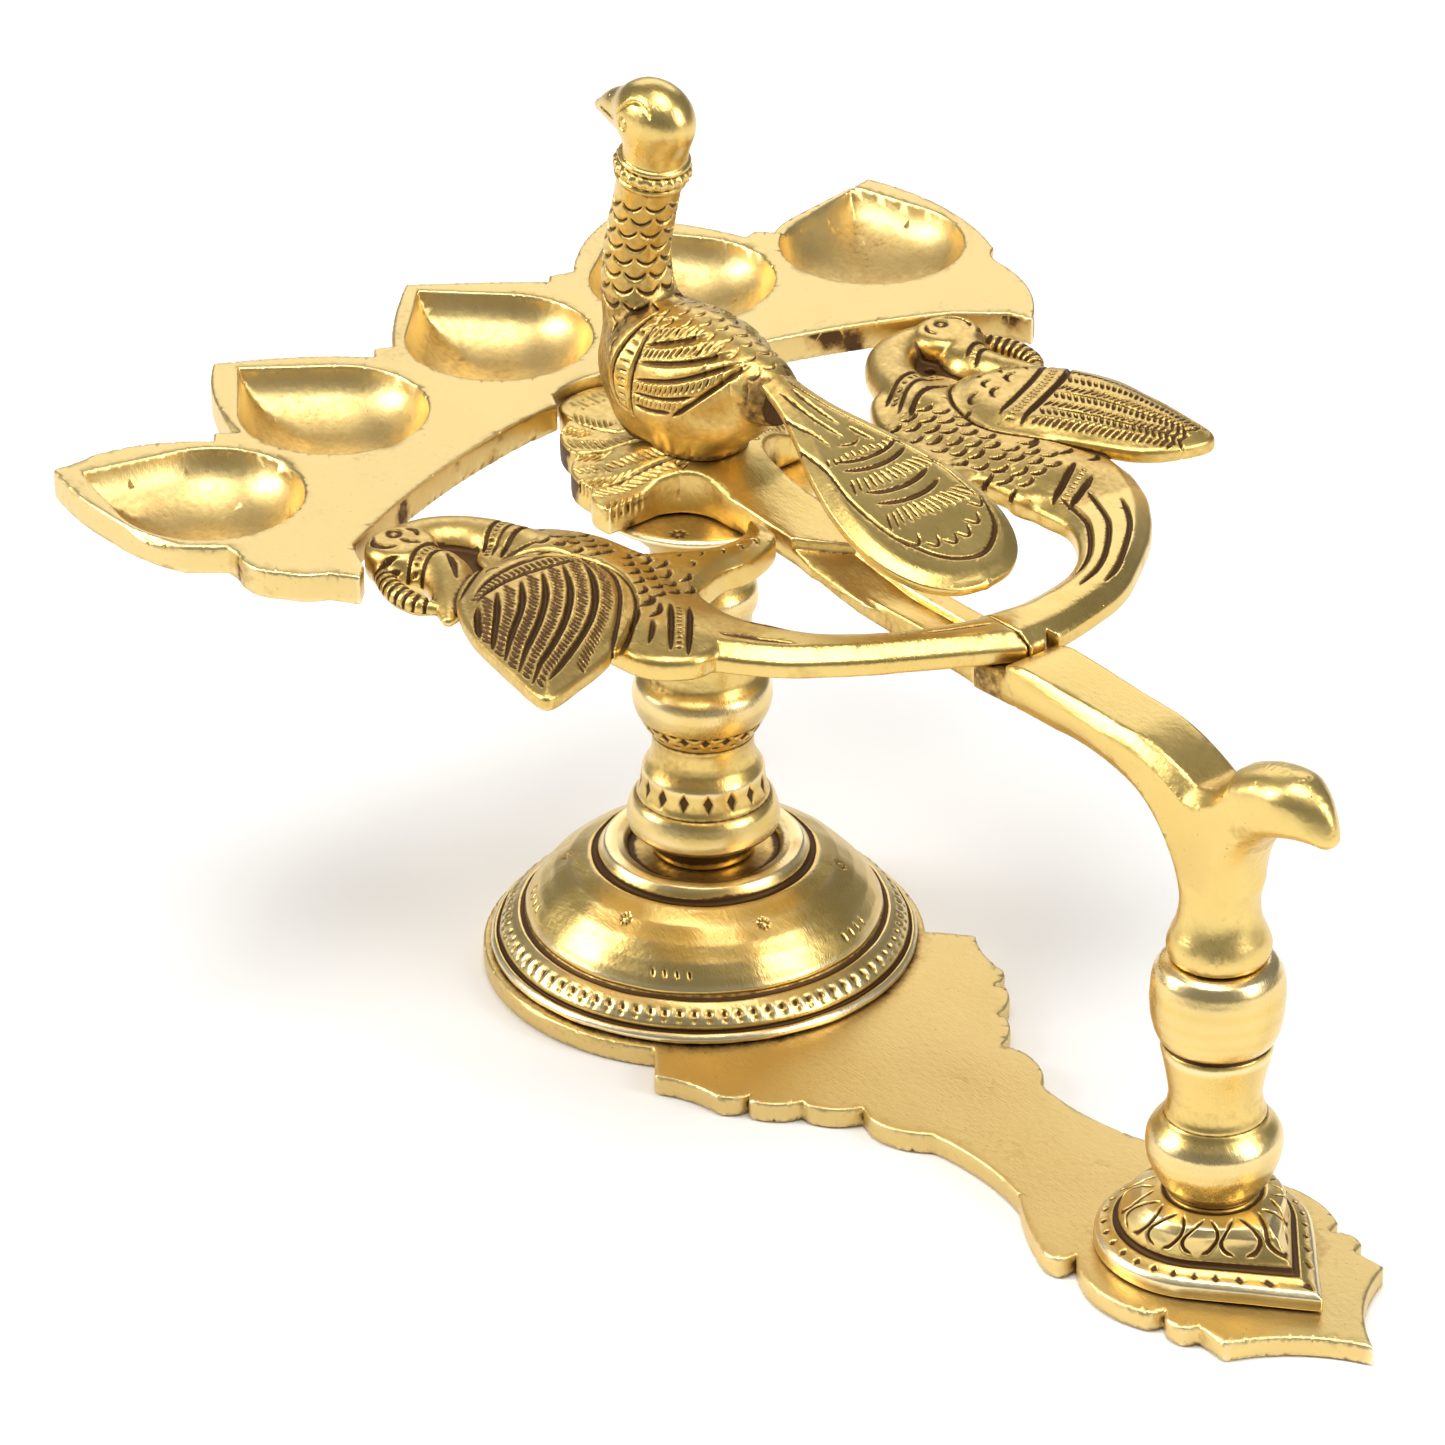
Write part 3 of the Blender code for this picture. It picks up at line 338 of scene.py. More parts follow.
def cast(name, casting, shade_and_patina=None, place=None, detail=0.0, dark=1.0):
    """Meshes a casting. The function given after the casting adds more patina and painted shade at points;
    place(points) moves them from the casting's own axes.
    """
    casting.field[0], casting.field[-1] = 5.0, 5.0
    casting.field[:, 0], casting.field[:, -1] = 5.0, 5.0
    casting.field[:, :, 0], casting.field[:, :, -1] = 5.0, 5.0
    grid = vdb.FloatGrid(10.0)
    grid.copyFromArray(np.ascontiguousarray(np.clip(casting.field, -3, 3)))
    grid.transform = vdb.createLinearTransform(voxelSize=casting.step)
    points, triangles, quads = grid.convertToPolygons(isovalue=0.0, adaptivity=detail)
    points = points + casting.low
    near = hidden_depth(casting, points, 0.55)
    wide_patina_and_shade = hidden_depth(casting, points, 1.8)
    # The narrow depth gives patina in grooves. The broad depth gives patina with painted shade in deep corners and
    # recesses.
    patina_and_shade = dark * (1.9 * np.clip(near - 0.04, 0, None) + 1.1 * np.clip(wide_patina_and_shade - 0.10, 0, None))
    patina_and_shade += 1.2 * np.clip(near + 0.22, None, 0)
    if shade_and_patina is not None:
        patina_and_shade = patina_and_shade + shade_and_patina(points)
    if place is not None:
        points = place(points)
    loops = np.concatenate([triangles.ravel(), quads.ravel()])
    sizes = np.concatenate([np.full(len(triangles), 3), np.full(len(quads), 4)])
    starts = np.concatenate([[0], np.cumsum(sizes)[:-1]])
    ob = new_object(name, points, loops, starts, patina_and_shade)
    if signed_volume(ob.data) < 0:
        ob.data.flip_normals()
    print(f"{name}: {len(ob.data.polygons)} faces")
    return ob


def signed_volume(mesh):
    count = len(mesh.polygons)
    centre, normal, area = np.zeros(count * 3), np.zeros(count * 3), np.zeros(count)
    mesh.polygons.foreach_get("center", centre)
    mesh.polygons.foreach_get("normal", normal)
    mesh.polygons.foreach_get("area", area)
    return float(((centre * normal).reshape(-1, 3).sum(1) * area).sum())


# ---------------------------------------------------------------- turned castings


def fine_profile(corners, spacing=0.3, soften=2):
    """(radius, height) corners as a fine line with slightly rounded corners, and the distance along it."""
    corners = np.array(corners, float)
    steps = np.linalg.norm(np.diff(corners, axis=0), axis=1)
    total = np.concatenate([[0], np.cumsum(steps)])
    along = np.linspace(0, total[-1], max(8, int(total[-1] / spacing)))
    line = np.column_stack([np.interp(along, total, corners[:, k]) for k in (0, 1)])
    for _ in range(soften):
        line[1:-1] = (line[:-2] + 2 * line[1:-1] + line[2:]) / 4
    return line, along


class Turned:
    """A casting as a polar grid: angles by distance along a profile, both ends closed on the axis."""

    def __init__(self, centre_x, corners, count=540, spacing=0.3, soften=2, reach=None):
        self.centre_x = centre_x
        self.profile, self.along = fine_profile(corners, spacing, soften)
        self.angles = np.arange(count + 1) * 360.0 / count - 220.0
        self.engraving = Engraving(self.angles, self.along)
        self.reach = reach

    def at(self, radius, height):
        """Distance along the profile of its point nearest to a radius and height, and that point's radius."""
        k = np.argmin(((self.profile - (radius, height)) ** 2).sum(1))
        return self.along[k], self.profile[k, 0]

    def ring(self, radius, height, width, depth):
        s, _ = self.at(radius, height)
        cut = depth * np.clip(1 - ((self.along - s) / (width / 2)) ** 2, 0, 1)
        depths = self.engraving.depth
        np.maximum(depths, cut, out=depths) if depth > 0 else np.minimum(depths, cut, out=depths)

    def mark(self, angle, radius, height, line, width, depth, fade=0.3):
        """A stroke whose points (across, down) in mm are measured from a place on the casting."""
        s, r = self.at(radius, height)
        per_degree = r * math.pi / 180
        points = [(angle + across / per_degree, s + down) for across, down in line]
        self.engraving.stroke(points, width, depth, fade, 1, per_degree)

    def dent(self, angle, radius, height, half_across, half_down, depth, shift=(0.0, 0.0)):
        s, r = self.at(radius, height)
        per_degree = r * math.pi / 180
        centre = (angle + shift[0] / per_degree, s + shift[1])
        self.engraving.dome(centre, half_across, half_down, -depth, 0.0, per_degree)

    def build(self, name, shade_and_patina=None, uneven=0.0, seed=1):
        angles = np.radians(self.angles[:-1])[:, None]
        depth = self.engraving.depth[:-1]
        r, z = self.profile[:, 0][None, :], self.profile[:, 1][None, :]
        slope = np.gradient(self.profile, axis=0)
        slope /= np.maximum(np.linalg.norm(slope, axis=1), 1e-9)[:, None]
        out_r, out_z = -slope[:, 1][None, :], slope[:, 0][None, :]
        if self.reach is None:
            middle_x, spread = self.centre_x, np.ones_like(angles)
        else:
            middle_x, spread = self.reach(angles, z)
        lift = -depth
        if uneven:
            lift = lift + uneven * waves(r * np.cos(angles), r * np.sin(angles), z, seed, 9.0)
        ring_r = r * spread + out_r * lift
        x = middle_x + ring_r * np.cos(angles)
        y = ring_r * np.sin(angles)
        height = z + out_z * lift + 0 * angles
        rows, columns = x.shape
        points = np.stack([x, y, height], -1).reshape(-1, 3)
        ends = [[middle_x if np.isscalar(middle_x) else middle_x[0, k], 0, self.profile[k, 1]] for k in (0, -1)]
        i, j = np.meshgrid(np.arange(rows), np.arange(columns - 1), indexing="ij")
        after = (i + 1) % rows
        quads = np.stack([i * columns + j, i * columns + j + 1, after * columns + j + 1, after * columns + j], -1)
        ring = np.arange(rows)
        first, last = rows * columns, rows * columns + 1
        top = np.stack([np.full(rows, first), ring * columns, (ring + 1) % rows * columns], -1)
        end = columns - 1
        under = np.stack([np.full(rows, last), (ring + 1) % rows * columns + end, ring * columns + end], -1)
        loops = np.concatenate([top.ravel(), under.ravel(), quads.reshape(-1)])
        sizes = np.concatenate([np.full(2 * rows, 3), np.full(quads.size // 4, 4)])
        starts = np.concatenate([[0], np.cumsum(sizes)[:-1]])
        bend = np.gradient(np.unwrap(np.arctan2(slope[:, 1], slope[:, 0]))) / np.gradient(self.along)
        hollow = np.clip(np.convolve(np.clip(bend, -2, 2), np.ones(7) / 7, "same"), -0.6, 0.8)
        # Patina in the cuts, and patina with painted shade in the profile's concave bends.
        patina_and_shade = np.clip(depth / 0.35, -0.4, 1.1) + 1.0 * hollow[None, :]
        patina_and_shade = np.concatenate([patina_and_shade.ravel(), [0, 0]])
        points = np.vstack([points, ends])
        if shade_and_patina is not None:
            patina_and_shade = patina_and_shade + shade_and_patina(points)
        ob = new_object(name, points, loops, starts, patina_and_shade)
        if signed_volume(ob.data) < 0:
            ob.data.flip_normals()
        print(f"{name}: {len(ob.data.polygons)} faces")
        return ob


# ---------------------------------------------------------------- materials


def math_node(tree, kind, a, b, clamp=False):
    node = tree.nodes.new("ShaderNodeMath")
    node.operation = kind
    node.use_clamp = clamp
    for socket, value in zip(node.inputs, (a, b)):
        if isinstance(value, (int, float)):
            socket.default_value = value
        else:
            tree.links.new(value, socket)
    return node.outputs[0]


def noise(tree, place, scale, detail=3.0, stretch=(1, 1, 1)):
    mapping = tree.nodes.new("ShaderNodeMapping")
    mapping.inputs["Scale"].default_value = stretch
    tree.links.new(place, mapping.inputs["Vector"])
    node = tree.nodes.new("ShaderNodeTexNoise")
    node.inputs["Scale"].default_value = scale
    node.inputs["Detail"].default_value = detail
    tree.links.new(mapping.outputs[0], node.inputs["Vector"])
    return node.outputs["Fac"]


def mix_colour(tree, factor, a, b):
    node = tree.nodes.new("ShaderNodeMix")
    node.data_type = "RGBA"
    tree.links.new(factor, node.inputs[0])
    for socket, value in zip((node.inputs[6], node.inputs[7]), (a, b)):
        if isinstance(value, tuple):
            socket.default_value = (*value, 1.0)
        else:
            tree.links.new(value, socket)
    return node.outputs[2]


def brass(name, gold, pale, rough=0.26, grain=0.10, pits=0.0, mottle=0.5):
    """Cast brass, polished by hand: uneven tint, fine scratches, pits, and a brown patina where it can't be rubbed. The
    same browning also paints the shade that the point attribute carries.
    """
    mat = bpy.data.materials.new(name)
    mat.use_nodes = True
    tree = mat.node_tree
    shader = tree.nodes["Principled BSDF"]
    place = tree.nodes.new("ShaderNodeTexCoord").outputs["Object"]
    patina_and_shade = tree.nodes.new("ShaderNodeAttribute")
    patina_and_shade.attribute_name = "patina_and_shade"
    broad = noise(tree, place, 38.0, 4.0)
    fine = noise(tree, place, 900.0, 4.0)
    scratch = noise(tree, place, 420.0, 2.0, (1.0, 9.0, 3.0))
    speck = noise(tree, place, 1500.0, 2.0)

    tint = math_node(tree, "MULTIPLY_ADD", broad, mottle * 2)
    tint.node.inputs[2].default_value = 0.5 - mottle
    tint.node.use_clamp = True
    polished = mix_colour(tree, tint, gold, pale)
    wear = math_node(tree, "MULTIPLY", patina_and_shade.outputs["Fac"], -1.6, True)
    polished = mix_colour(tree, wear, polished, (0.95, 0.80, 0.50))

    # Patina and painted shade from the point attribute, broken up by noise, turn the colour brown and then near black.
    shade_and_patina = math_node(tree, "MULTIPLY_ADD", fine, 0.6)
    tree.links.new(patina_and_shade.outputs["Fac"], shade_and_patina.node.inputs[2])
    patchy = math_node(tree, "MULTIPLY", broad, 0.5)
    shade_and_patina = math_node(tree, "ADD", shade_and_patina, patchy)
    shade_and_patina = math_node(tree, "SUBTRACT", shade_and_patina, 0.66)
    shade_and_patina = math_node(tree, "MULTIPLY", shade_and_patina, 1.5, True)
    brown = mix_colour(tree, shade_and_patina, polished, (0.38, 0.20, 0.04))
    deep = math_node(tree, "SUBTRACT", shade_and_patina, 0.42)
    deep = math_node(tree, "MULTIPLY", deep, 2.2, True)
    colour = mix_colour(tree, deep, brown, (0.09, 0.042, 0.010))
    if pits:
        hole = math_node(tree, "SUBTRACT", speck, 0.70)
        hole = math_node(tree, "MULTIPLY", hole, 14.0 * pits, True)
        colour = mix_colour(tree, hole, colour, (0.20, 0.10, 0.03))
    tree.links.new(colour, shader.inputs["Base Color"])

    metal = math_node(tree, "MULTIPLY", deep, -0.35)
    metal = math_node(tree, "ADD", metal, 1.0)
    tree.links.new(metal, shader.inputs["Metallic"])
    gloss = math_node(tree, "MULTIPLY", broad, 0.16)
    gloss = math_node(tree, "ADD", gloss, rough - 0.08)
    streak = math_node(tree, "MULTIPLY", scratch, 0.12)
    gloss = math_node(tree, "ADD", gloss, streak)
    dull = math_node(tree, "MULTIPLY", shade_and_patina, 0.24)
    gloss = math_node(tree, "ADD", gloss, dull)
    tree.links.new(gloss, shader.inputs["Roughness"])

    height = math_node(tree, "MULTIPLY", scratch, 0.5)
    height = math_node(tree, "ADD", height, fine)
    bump = tree.nodes.new("ShaderNodeBump")
    bump.inputs["Strength"].default_value = grain * 2
    bump.inputs["Distance"].default_value = 0.0004
    tree.links.new(height, bump.inputs["Height"])
    tree.links.new(bump.outputs[0], shader.inputs["Normal"])
    return mat


def steel(name):
    mat = bpy.data.materials.new(name)
    mat.use_nodes = True
    tree = mat.node_tree
    shader = tree.nodes["Principled BSDF"]
    place = tree.nodes.new("ShaderNodeTexCoord").outputs["Object"]
    tone = noise(tree, place, 260.0, 3.0)
    colour = mix_colour(tree, tone, (0.42, 0.42, 0.43), (0.62, 0.61, 0.60))
    tree.links.new(colour, shader.inputs["Base Color"])
    shader.inputs["Metallic"].default_value = 1.0
    tree.links.new(math_node(tree, "MULTIPLY", tone, 0.6), shader.inputs["Roughness"])
    return mat


GOLD = (0.64, 0.42, 0.105)
PALE = (0.80, 0.61, 0.235)


def dress(ob, node, material, body="lamp"):
    ob.data.materials.clear()
    ob.data.materials.append(material)
    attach(ob, body)
    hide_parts(node)
    return ob


# ---------------------------------------------------------------- base plate and foot

DISC_R = 39.0
PLATE_TIP = 172.0
PLATE_EDGE = (
    (30.8, 36.6, -1.0),
    (42.8, 32.6, 0.9),
    (45.8, 27.8, 0.0),
    (47.2, 29.2, 1.3),
    (53.4, 22.2, 0.0),
    (55.0, 22.6, 1.1),
    (61.6, 15.8, 0.0),
    (65.0, 17.2, 1.5),
    (76.0, 12.6, -1.4),
    (100.0, 14.0, 0.6),
    (115.5, 22.4, 2.0),
    (119.6, 18.6, 0.0),
    (121.6, 20.2, 2.6),
    (140.6, 21.4, 0.0),
    (141.6, 18.6, 0.0),
    (143.0, 20.0, 0.7),
    (148.0, 19.8, 0.0),
    (148.8, 17.6, 0.0),
    (155.4, 18.0, -2.4),
)


def base_plate():
    casting = Casting((-DISC_R - 1, -DISC_R - 1, -0.8), (PLATE_TIP + 1, DISC_R + 1, PLATE_TOP + 0.8), 0.33)
    turn = np.radians(np.linspace(180, 50, 60))
    half = np.column_stack([DISC_R * np.cos(turn), DISC_R * np.sin(turn)])
    half = np.vstack([half[:-1], arcs(PLATE_EDGE + ((PLATE_TIP, 0.0, 0.0),))])
    edge = casting.outline(both_sides(half, half))
    top = PLATE_TOP - 0.15 + 0.12 * waves(casting.flat_x, casting.flat_y, 0.0, 3, 22.0)
    casting.add(casting.slab(edge, 0.0, top, 0.5))
    lines = Engraving(*casting.axes[:2])
    lines.stroke([(56, -2), (66, 3), (72, 2), (84, 8), (90, 6)], 0.5, 0.12)
    lines.stroke([(62, 12), (70, 6), (76, -4), (80, -10)], 0.5, 0.10)
    lines.stroke([(92, -6), (100, 2), (106, 4)], 0.5, 0.10)
    casting.engrave_top(lines, PLATE_TOP / 2)

    def shade_and_patina(points):
        foot = np.hypot(points[:, 0], points[:, 1])
        boss = np.hypot(points[:, 0] - 132, points[:, 1])
        # Painted shade: the plate's top darkens in a ring where the foot and the boss stand on it.
        ring = 0.75 * np.exp(-np.clip(foot - 37.2, 0, None) / 1.1) + 0.3 * np.exp(-np.clip(boss - 18, 0, None) / 1.6)
        patches = waves(points[:, 0], points[:, 1], points[:, 2], 12, 15.0)
        return ring * (points[:, 2] > 2) + 0.10 * np.clip(patches - 0.4, 0, None)

    ob = cast("plate_casting", casting, shade_and_patina, detail=0.35)
    return dress(ob, "base_plate", brass("base_brass", (0.66, 0.47, 0.19), PALE, 0.34, 0.12, 0.5))


FOOT_PROFILE = (
    (0.0, 22.0),
    (13.2, 22.0),
    (13.9, 23.2),
    (15.6, 23.9),
    (17.4, 23.8),
    (18.4, 22.4),
    (18.9, 21.6),
    (20.2, 21.4),
    (23.6, 19.6),
    (26.4, 17.4),
    (28.8, 15.0),
    (30.4, 12.9),
    (31.5, 10.9),
    (31.2, 10.2),
    (32.4, 10.0),
    (33.6, 9.3),
    (35.2, 7.9),
    (36.0, 6.8),
    (36.0, 6.0),
    (36.9, 5.9),
    (37.6, 5.2),
    (37.6, 4.3),
    (34.2, 4.3),
    (32.8, 6.0),
    (28.2, 9.6),
    (22.4, 14.6),
    (9.0, 18.6),
    (0.0, 18.6),
)


def round_foot():
    foot = Turned(0.0, FOOT_PROFILE, 720, 0.28, 1)
    foot.ring(32.1, 10.1, 1.1, 0.45)
    foot.ring(36.2, 6.0, 1.1, 0.5)
    foot.ring(19.2, 21.6, 1.6, 0.5)
    for k in range(84):
        angle = -218 + k * 360 / 84
        foot.mark(angle, 34.3, 8.6, ((-0.2, -0.6), (0.1, 0.7)), 0.9, 0.42)
        foot.dent(angle, 35.4, 7.7, 0.5, 0.5, 0.25)
        foot.dent(angle, 34.3, 8.6, 0.6, 1.3, -0.16, (1.2, 0.2))
    for k in range(6):
        angle = -14 - 180 + 60 * k
        for petal in range(8):
            turn = math.radians(45 * petal + 10)
            line = [(0.4 * math.cos(turn), 0.4 * math.sin(turn)), (1.3 * math.cos(turn), 1.3 * math.sin(turn))]
            foot.mark(angle, 24.2, 19.2, line, 0.62, 0.30)
    for k in range(5):
        for step in range(4):
            foot.mark(-201 + 72 * k + 4.2 * step, 30.0, 13.5, ((-0.2, -1.0), (0.25, 0.9)), 0.75, 0.34)

    def shade_and_patina(points):
        radius = np.hypot(points[:, 0], points[:, 1])
        patches = waves(points[:, 0], points[:, 1], points[:, 2], 77, 16.0)
        # Painted shade in the recess around the pillar's base.
        cup_shade = 0.30 * (1 - ease(12.6, 15.0, radius)) * (points[:, 2] > 20)
        shoulder = 0.15 * np.exp(-(((radius - 19.0) / 1.3) ** 2)) * (1 + patches)
        # Painted shade inside and under the hollow foot.
        inside = 0.5 * ((points[:, 2] < 4.5) | (radius < 13)) * (points[:, 2] < 21)
        return cup_shade + shoulder + inside + 0.12 * np.clip(patches, 0, None)

    ob = foot.build("foot_casting", shade_and_patina, 0.10, 5)
    return dress(ob, "round_foot", brass("foot_brass", GOLD, PALE, 0.25, 0.07))


PILLAR_PROFILE = (
    (0.0, 80.0),
    (8.4, 80.0),
    (8.1, 77.6),
    (8.9, 75.6),
    (9.7, 74.4),
    (9.9, 72.8),
    (9.7, 71.0),
    (9.0, 69.6),
    (8.7, 68.4),
    (8.7, 66.2),
    (8.9, 64.0),
    (9.4, 60.4),
    (9.9, 58.0),
    (10.6, 57.0),
    (11.7, 56.0),
    (12.2, 54.6),
    (12.3, 53.0),
    (12.0, 51.4),
    (11.5, 50.0),
    (10.8, 48.8),
    (10.4, 47.8),
    (9.7, 47.0),
    (9.1, 45.8),
    (8.9, 44.4),
    (9.0, 42.4),
    (9.4, 40.8),
    (10.3, 39.4),
    (10.8, 38.6),
    (10.9, 36.8),
    (11.2, 34.8),
    (12.0, 33.4),
    (12.7, 32.4),
    (13.2, 30.8),
    (13.5, 29.2),
    (13.3, 27.8),
    (12.5, 26.9),
    (11.4, 26.5),
    (9.8, 26.2),
    (9.1, 24.6),
    (9.0, 22.3),
    (0.0, 22.3),
)


def diamond(casting, angle, radius, height, half_wide, half_tall, depth):
    """A punched diamond, deepest along its middle."""
    s, r = casting.at(radius, height)
    per_degree = r * math.pi / 180
    cuts = casting.engraving
    i, j, a, b = cuts.window(np.array([[angle * per_degree, s]]), half_tall + 1, per_degree)
    share = 1 - np.abs(a - angle * per_degree) / half_wide - np.abs(b - s) / half_tall
    cuts.depth[i, j] = np.maximum(cuts.depth[i, j], depth * 1.3 * np.clip(share * 1.6, 0, 1))


def pillar():
    post = Turned(0.0, PILLAR_PROFILE, 420, 0.26, 3)
    for height in (45.4, 50.2, 32.8):
        post.ring(10.4, height, 0.7, 0.2)
    for k in range(16):
        diamond(post, -215 + 22.5 * k, 10.9, 36.6, 1.15, 2.2, 0.30)
    for k in range(18):
        angle = -217 + 20 * k
        diamond(post, angle, 10.8, 48.4, 1.2, 1.7, 0.34)
        post.dent(angle + 10, 10.8, 49.6, 0.9, 0.6, 0.3)
        post.dent(angle + 10, 10.4, 46.8, 0.9, 0.6, 0.3)

    def shade_and_patina(points):
        patches = waves(points[:, 0], points[:, 1], points[:, 2], 78, 12.0)
        # Painted shade at the bottom, where the pillar stands in the foot.
        foot = np.clip((27.4 - points[:, 2]) / 2.0, 0, 1) * 0.6
        throat = 0.2 * np.exp(-(((points[:, 2] - 39.6) / 0.8) ** 2))
        # Painted shade at the top, under the seat flange.
        top = 0.25 * np.clip((points[:, 2] - 76.5) / 2.0, 0, 1)
        return foot + throat + top + 0.16 * np.clip(patches, 0, None)

    ob = post.build("pillar_casting", shade_and_patina, 0.06, 9)
    return dress(ob, "pillar", brass("pillar_brass", GOLD, PALE, 0.24, 0.06))


SEAT_PROFILE = (
    (0.0, 93.5),
    (20.0, 93.5),
    (20.7, 92.9),
    (20.4, 92.2),
    (19.6, 91.8),
    (16.6, 90.4),
    (14.4, 88.6),
    (12.0, 86.0),
    (10.0, 83.9),
    (9.2, 82.4),
    (8.9, 80.3),
    (0.0, 80.3),
)


def seat_flange():
    seat = Turned(0.0, SEAT_PROFILE, 360, 0.3, 2)
    for petal in range(8):
        turn = math.radians(45 * petal)
        line = [(0.4 * math.cos(turn), 0.4 * math.sin(turn)), (1.7 * math.cos(turn), 1.7 * math.sin(turn))]
        seat.mark(-52, 17.6, 93.5, line, 0.7, 0.35)

    def shade_and_patina(points):
        # Painted shade on the top face, under the leaf and tray.
        return 0.22 * (points[:, 2] > 93.2)

    ob = seat.build("seat_casting", shade_and_patina, 0.08, 4)
    return dress(ob, "seat_flange", brass("seat_brass", GOLD, PALE, 0.30, 0.12))


# ---------------------------------------------------------------- lamp tray

BOWLS = ((-55.4, 0.0, 0.0), (-52.3, 39.0, 8.0), (-41.5, 74.0, 31.0))
BOWL_R = 16.4
BOWL_LIP = 23.2
BOWL_DEPTH = 9.6
BOWL_WALL = 2.2
TRAY_LEFT = (
    (-82.0, 0.0, 0.4),
    (-66.6, 20.0, 0.0),
    (-68.4, 21.6, 0.0),
    (-67.0, 26.0, 1.6),
    (-79.6, 44.4, 1.6),
    (-57.6, 58.0, 0.0),
    (-58.6, 60.6, 0.0),
    (-55.0, 64.0, 0.4),
    (-61.6, 90.1, 3.6),
    (-25.6, 89.0, -0.8),
    (-21.0, 86.0, 2.6),
    (0.0, 75.6, 0.0),
    (-4.4, 74.2, 0.0),
    (-11.2, 66.4, -1.6),
    (-27.0, 22.0, -0.3),
    (-28.6, 8.4, 0.0),
    (-31.6, 6.8, -0.6),
    (-33.4, 0.0, 0.0),
)
TRAY_RIGHT = (
    (-82.0, 0.0, 0.8),
    (-64.5, 16.4, 0.0),
    (-66.2, 19.6, 0.0),
    (-63.6, 21.4, 1.2),
    (-79.6, 44.4, 2.2),
    (-56.0, 56.4, 0.0),
    (-58.8, 60.0, 0.0),
    (-56.4, 61.8, 3.4),
    (-65.4, 89.2, 2.9),
    (-29.2, 88.6, 0.0),
    (-24.2, 83.0, 0.0),
    (-20.8, 83.2, 1.8),
    (-10.8, 81.6, 0.8),
    (-5.7, 75.8, 0.0),
    (-1.2, 72.6, 0.0),
    (-4.0, 69.6, 0.0),
    (-11.2, 66.4, -1.6),
    (-27.0, 22.0, -0.3),
    (-28.6, 8.4, 0.0),
    (-31.6, 6.8, -0.6),
    (-33.4, 0.0, 0.0),
)


def bowl_field(casting, centre, toward_deg, radius, lip, depth):
    """A bowl drawn out to a pointed lip: under 0 inside it."""
    dx, dy = casting.flat_x - centre[0], casting.flat_y - centre[1]
    off = np.abs((np.degrees(np.arctan2(dy, dx)) - toward_deg + 180) % 360 - 180)
    touch = math.degrees(math.acos(radius / lip))
    reach = radius / np.cos(np.radians(np.clip(touch - off, 0, None)))
    share = np.hypot(dx, dy) / reach
    size = np.sqrt(share[:, :, None] ** 2 + ((casting.z - TRAY_TOP) / depth) ** 2)
    return (size - 1) * depth


def lamp_tray():
    casting = Casting((-84, -92, TRAY_TOP - 13.5), (3.5, 94, TRAY_TOP + 0.8), 0.31)
    outline = both_sides(arcs(TRAY_LEFT), arcs(TRAY_RIGHT))
    edge = casting.outline(outline)
    casting.add(casting.slab(edge, TRAY_TOP - TRAY_THICK, TRAY_TOP, 0.45))
    hollows = []
    for x, y, lip_deg in BOWLS:
        for side in (1, -1) if y else (1,):
            centre, toward = (x, side * y), 180 - side * lip_deg
            shell = bowl_field(casting, centre, toward, BOWL_R + BOWL_WALL, BOWL_LIP + 1.2, BOWL_DEPTH + BOWL_WALL)
            casting.add(np.maximum(shell, casting.z - TRAY_TOP + 1.0), 1.2)
            hollows.append((centre, toward))
    for centre, toward in hollows:
        casting.cut(bowl_field(casting, centre, toward, BOWL_R, BOWL_LIP, BOWL_DEPTH), 0.5)
    casting.roughen(21, 17.0, 0.07)
    marks = Engraving(*casting.axes[:2])
    random = np.random.default_rng(8)
    for _ in range(60):
        place = random.uniform((-80, -88), (-10, 88))
        marks.dome(place, 0.4, 0.4, -random.uniform(0.05, 0.15))
    casting.engrave_top(marks, TRAY_TOP - 1.6)

    def shade_and_patina(points):
        # Painted shade on the underside.
        under = 0.25 * (points[:, 2] < TRAY_TOP - TRAY_THICK + 0.3)
        wall = (points[:, 2] < TRAY_TOP - 0.7) & (points[:, 0] > -34)
        blotch = waves(points[:, 0], points[:, 1], points[:, 2], 31, 11.0)
        streak = waves(points[:, 0], points[:, 1], 0.2 * points[:, 2], 32, 5.0)
        # The walls towards the pillar darken in blotches and streaks: painted shade with patchy patina.
        dark = 0.75 * wall * (points[:, 2] > TRAY_TOP - TRAY_THICK) * ease(0.2, 1.2, blotch + 0.5 * streak)
        return under + dark + 0.06 * np.clip(blotch, 0, None)

    ob = cast("tray_casting", casting, shade_and_patina, detail=0.3, dark=0.5)
    mat = brass("tray_brass", (0.66, 0.47, 0.16), (0.80, 0.62, 0.28), 0.31, 0.05, 0.4, 0.35)
    return dress(ob, "lamp_tray", mat)


# ---------------------------------------------------------------- leaf and spine

LEAF_EDGE = (
    (-33.0, 0.0, 0.4),
    (-31.2, 6.2, 0.6),
    (-25.6, 7.6, 0.0),
    (-25.8, 8.4, 2.0),
    (-15.4, 15.2, 0.0),
    (-14.6, 15.8, 2.0),
    (-3.6, 21.2, 0.0),
    (-2.8, 21.8, 1.2),
    (4.6, 23.8, 0.0),
    (4.4, 13.0, -2.4),
    (14.0, 6.6, -0.8),
    (38.0, 7.4, -0.2),
)
MOUND_R = 17.0
MOUND_H = 4.2
SPINE_END = 77.7
SPINE_HALF_W = 6.6
SPINE_TOP = 94.6
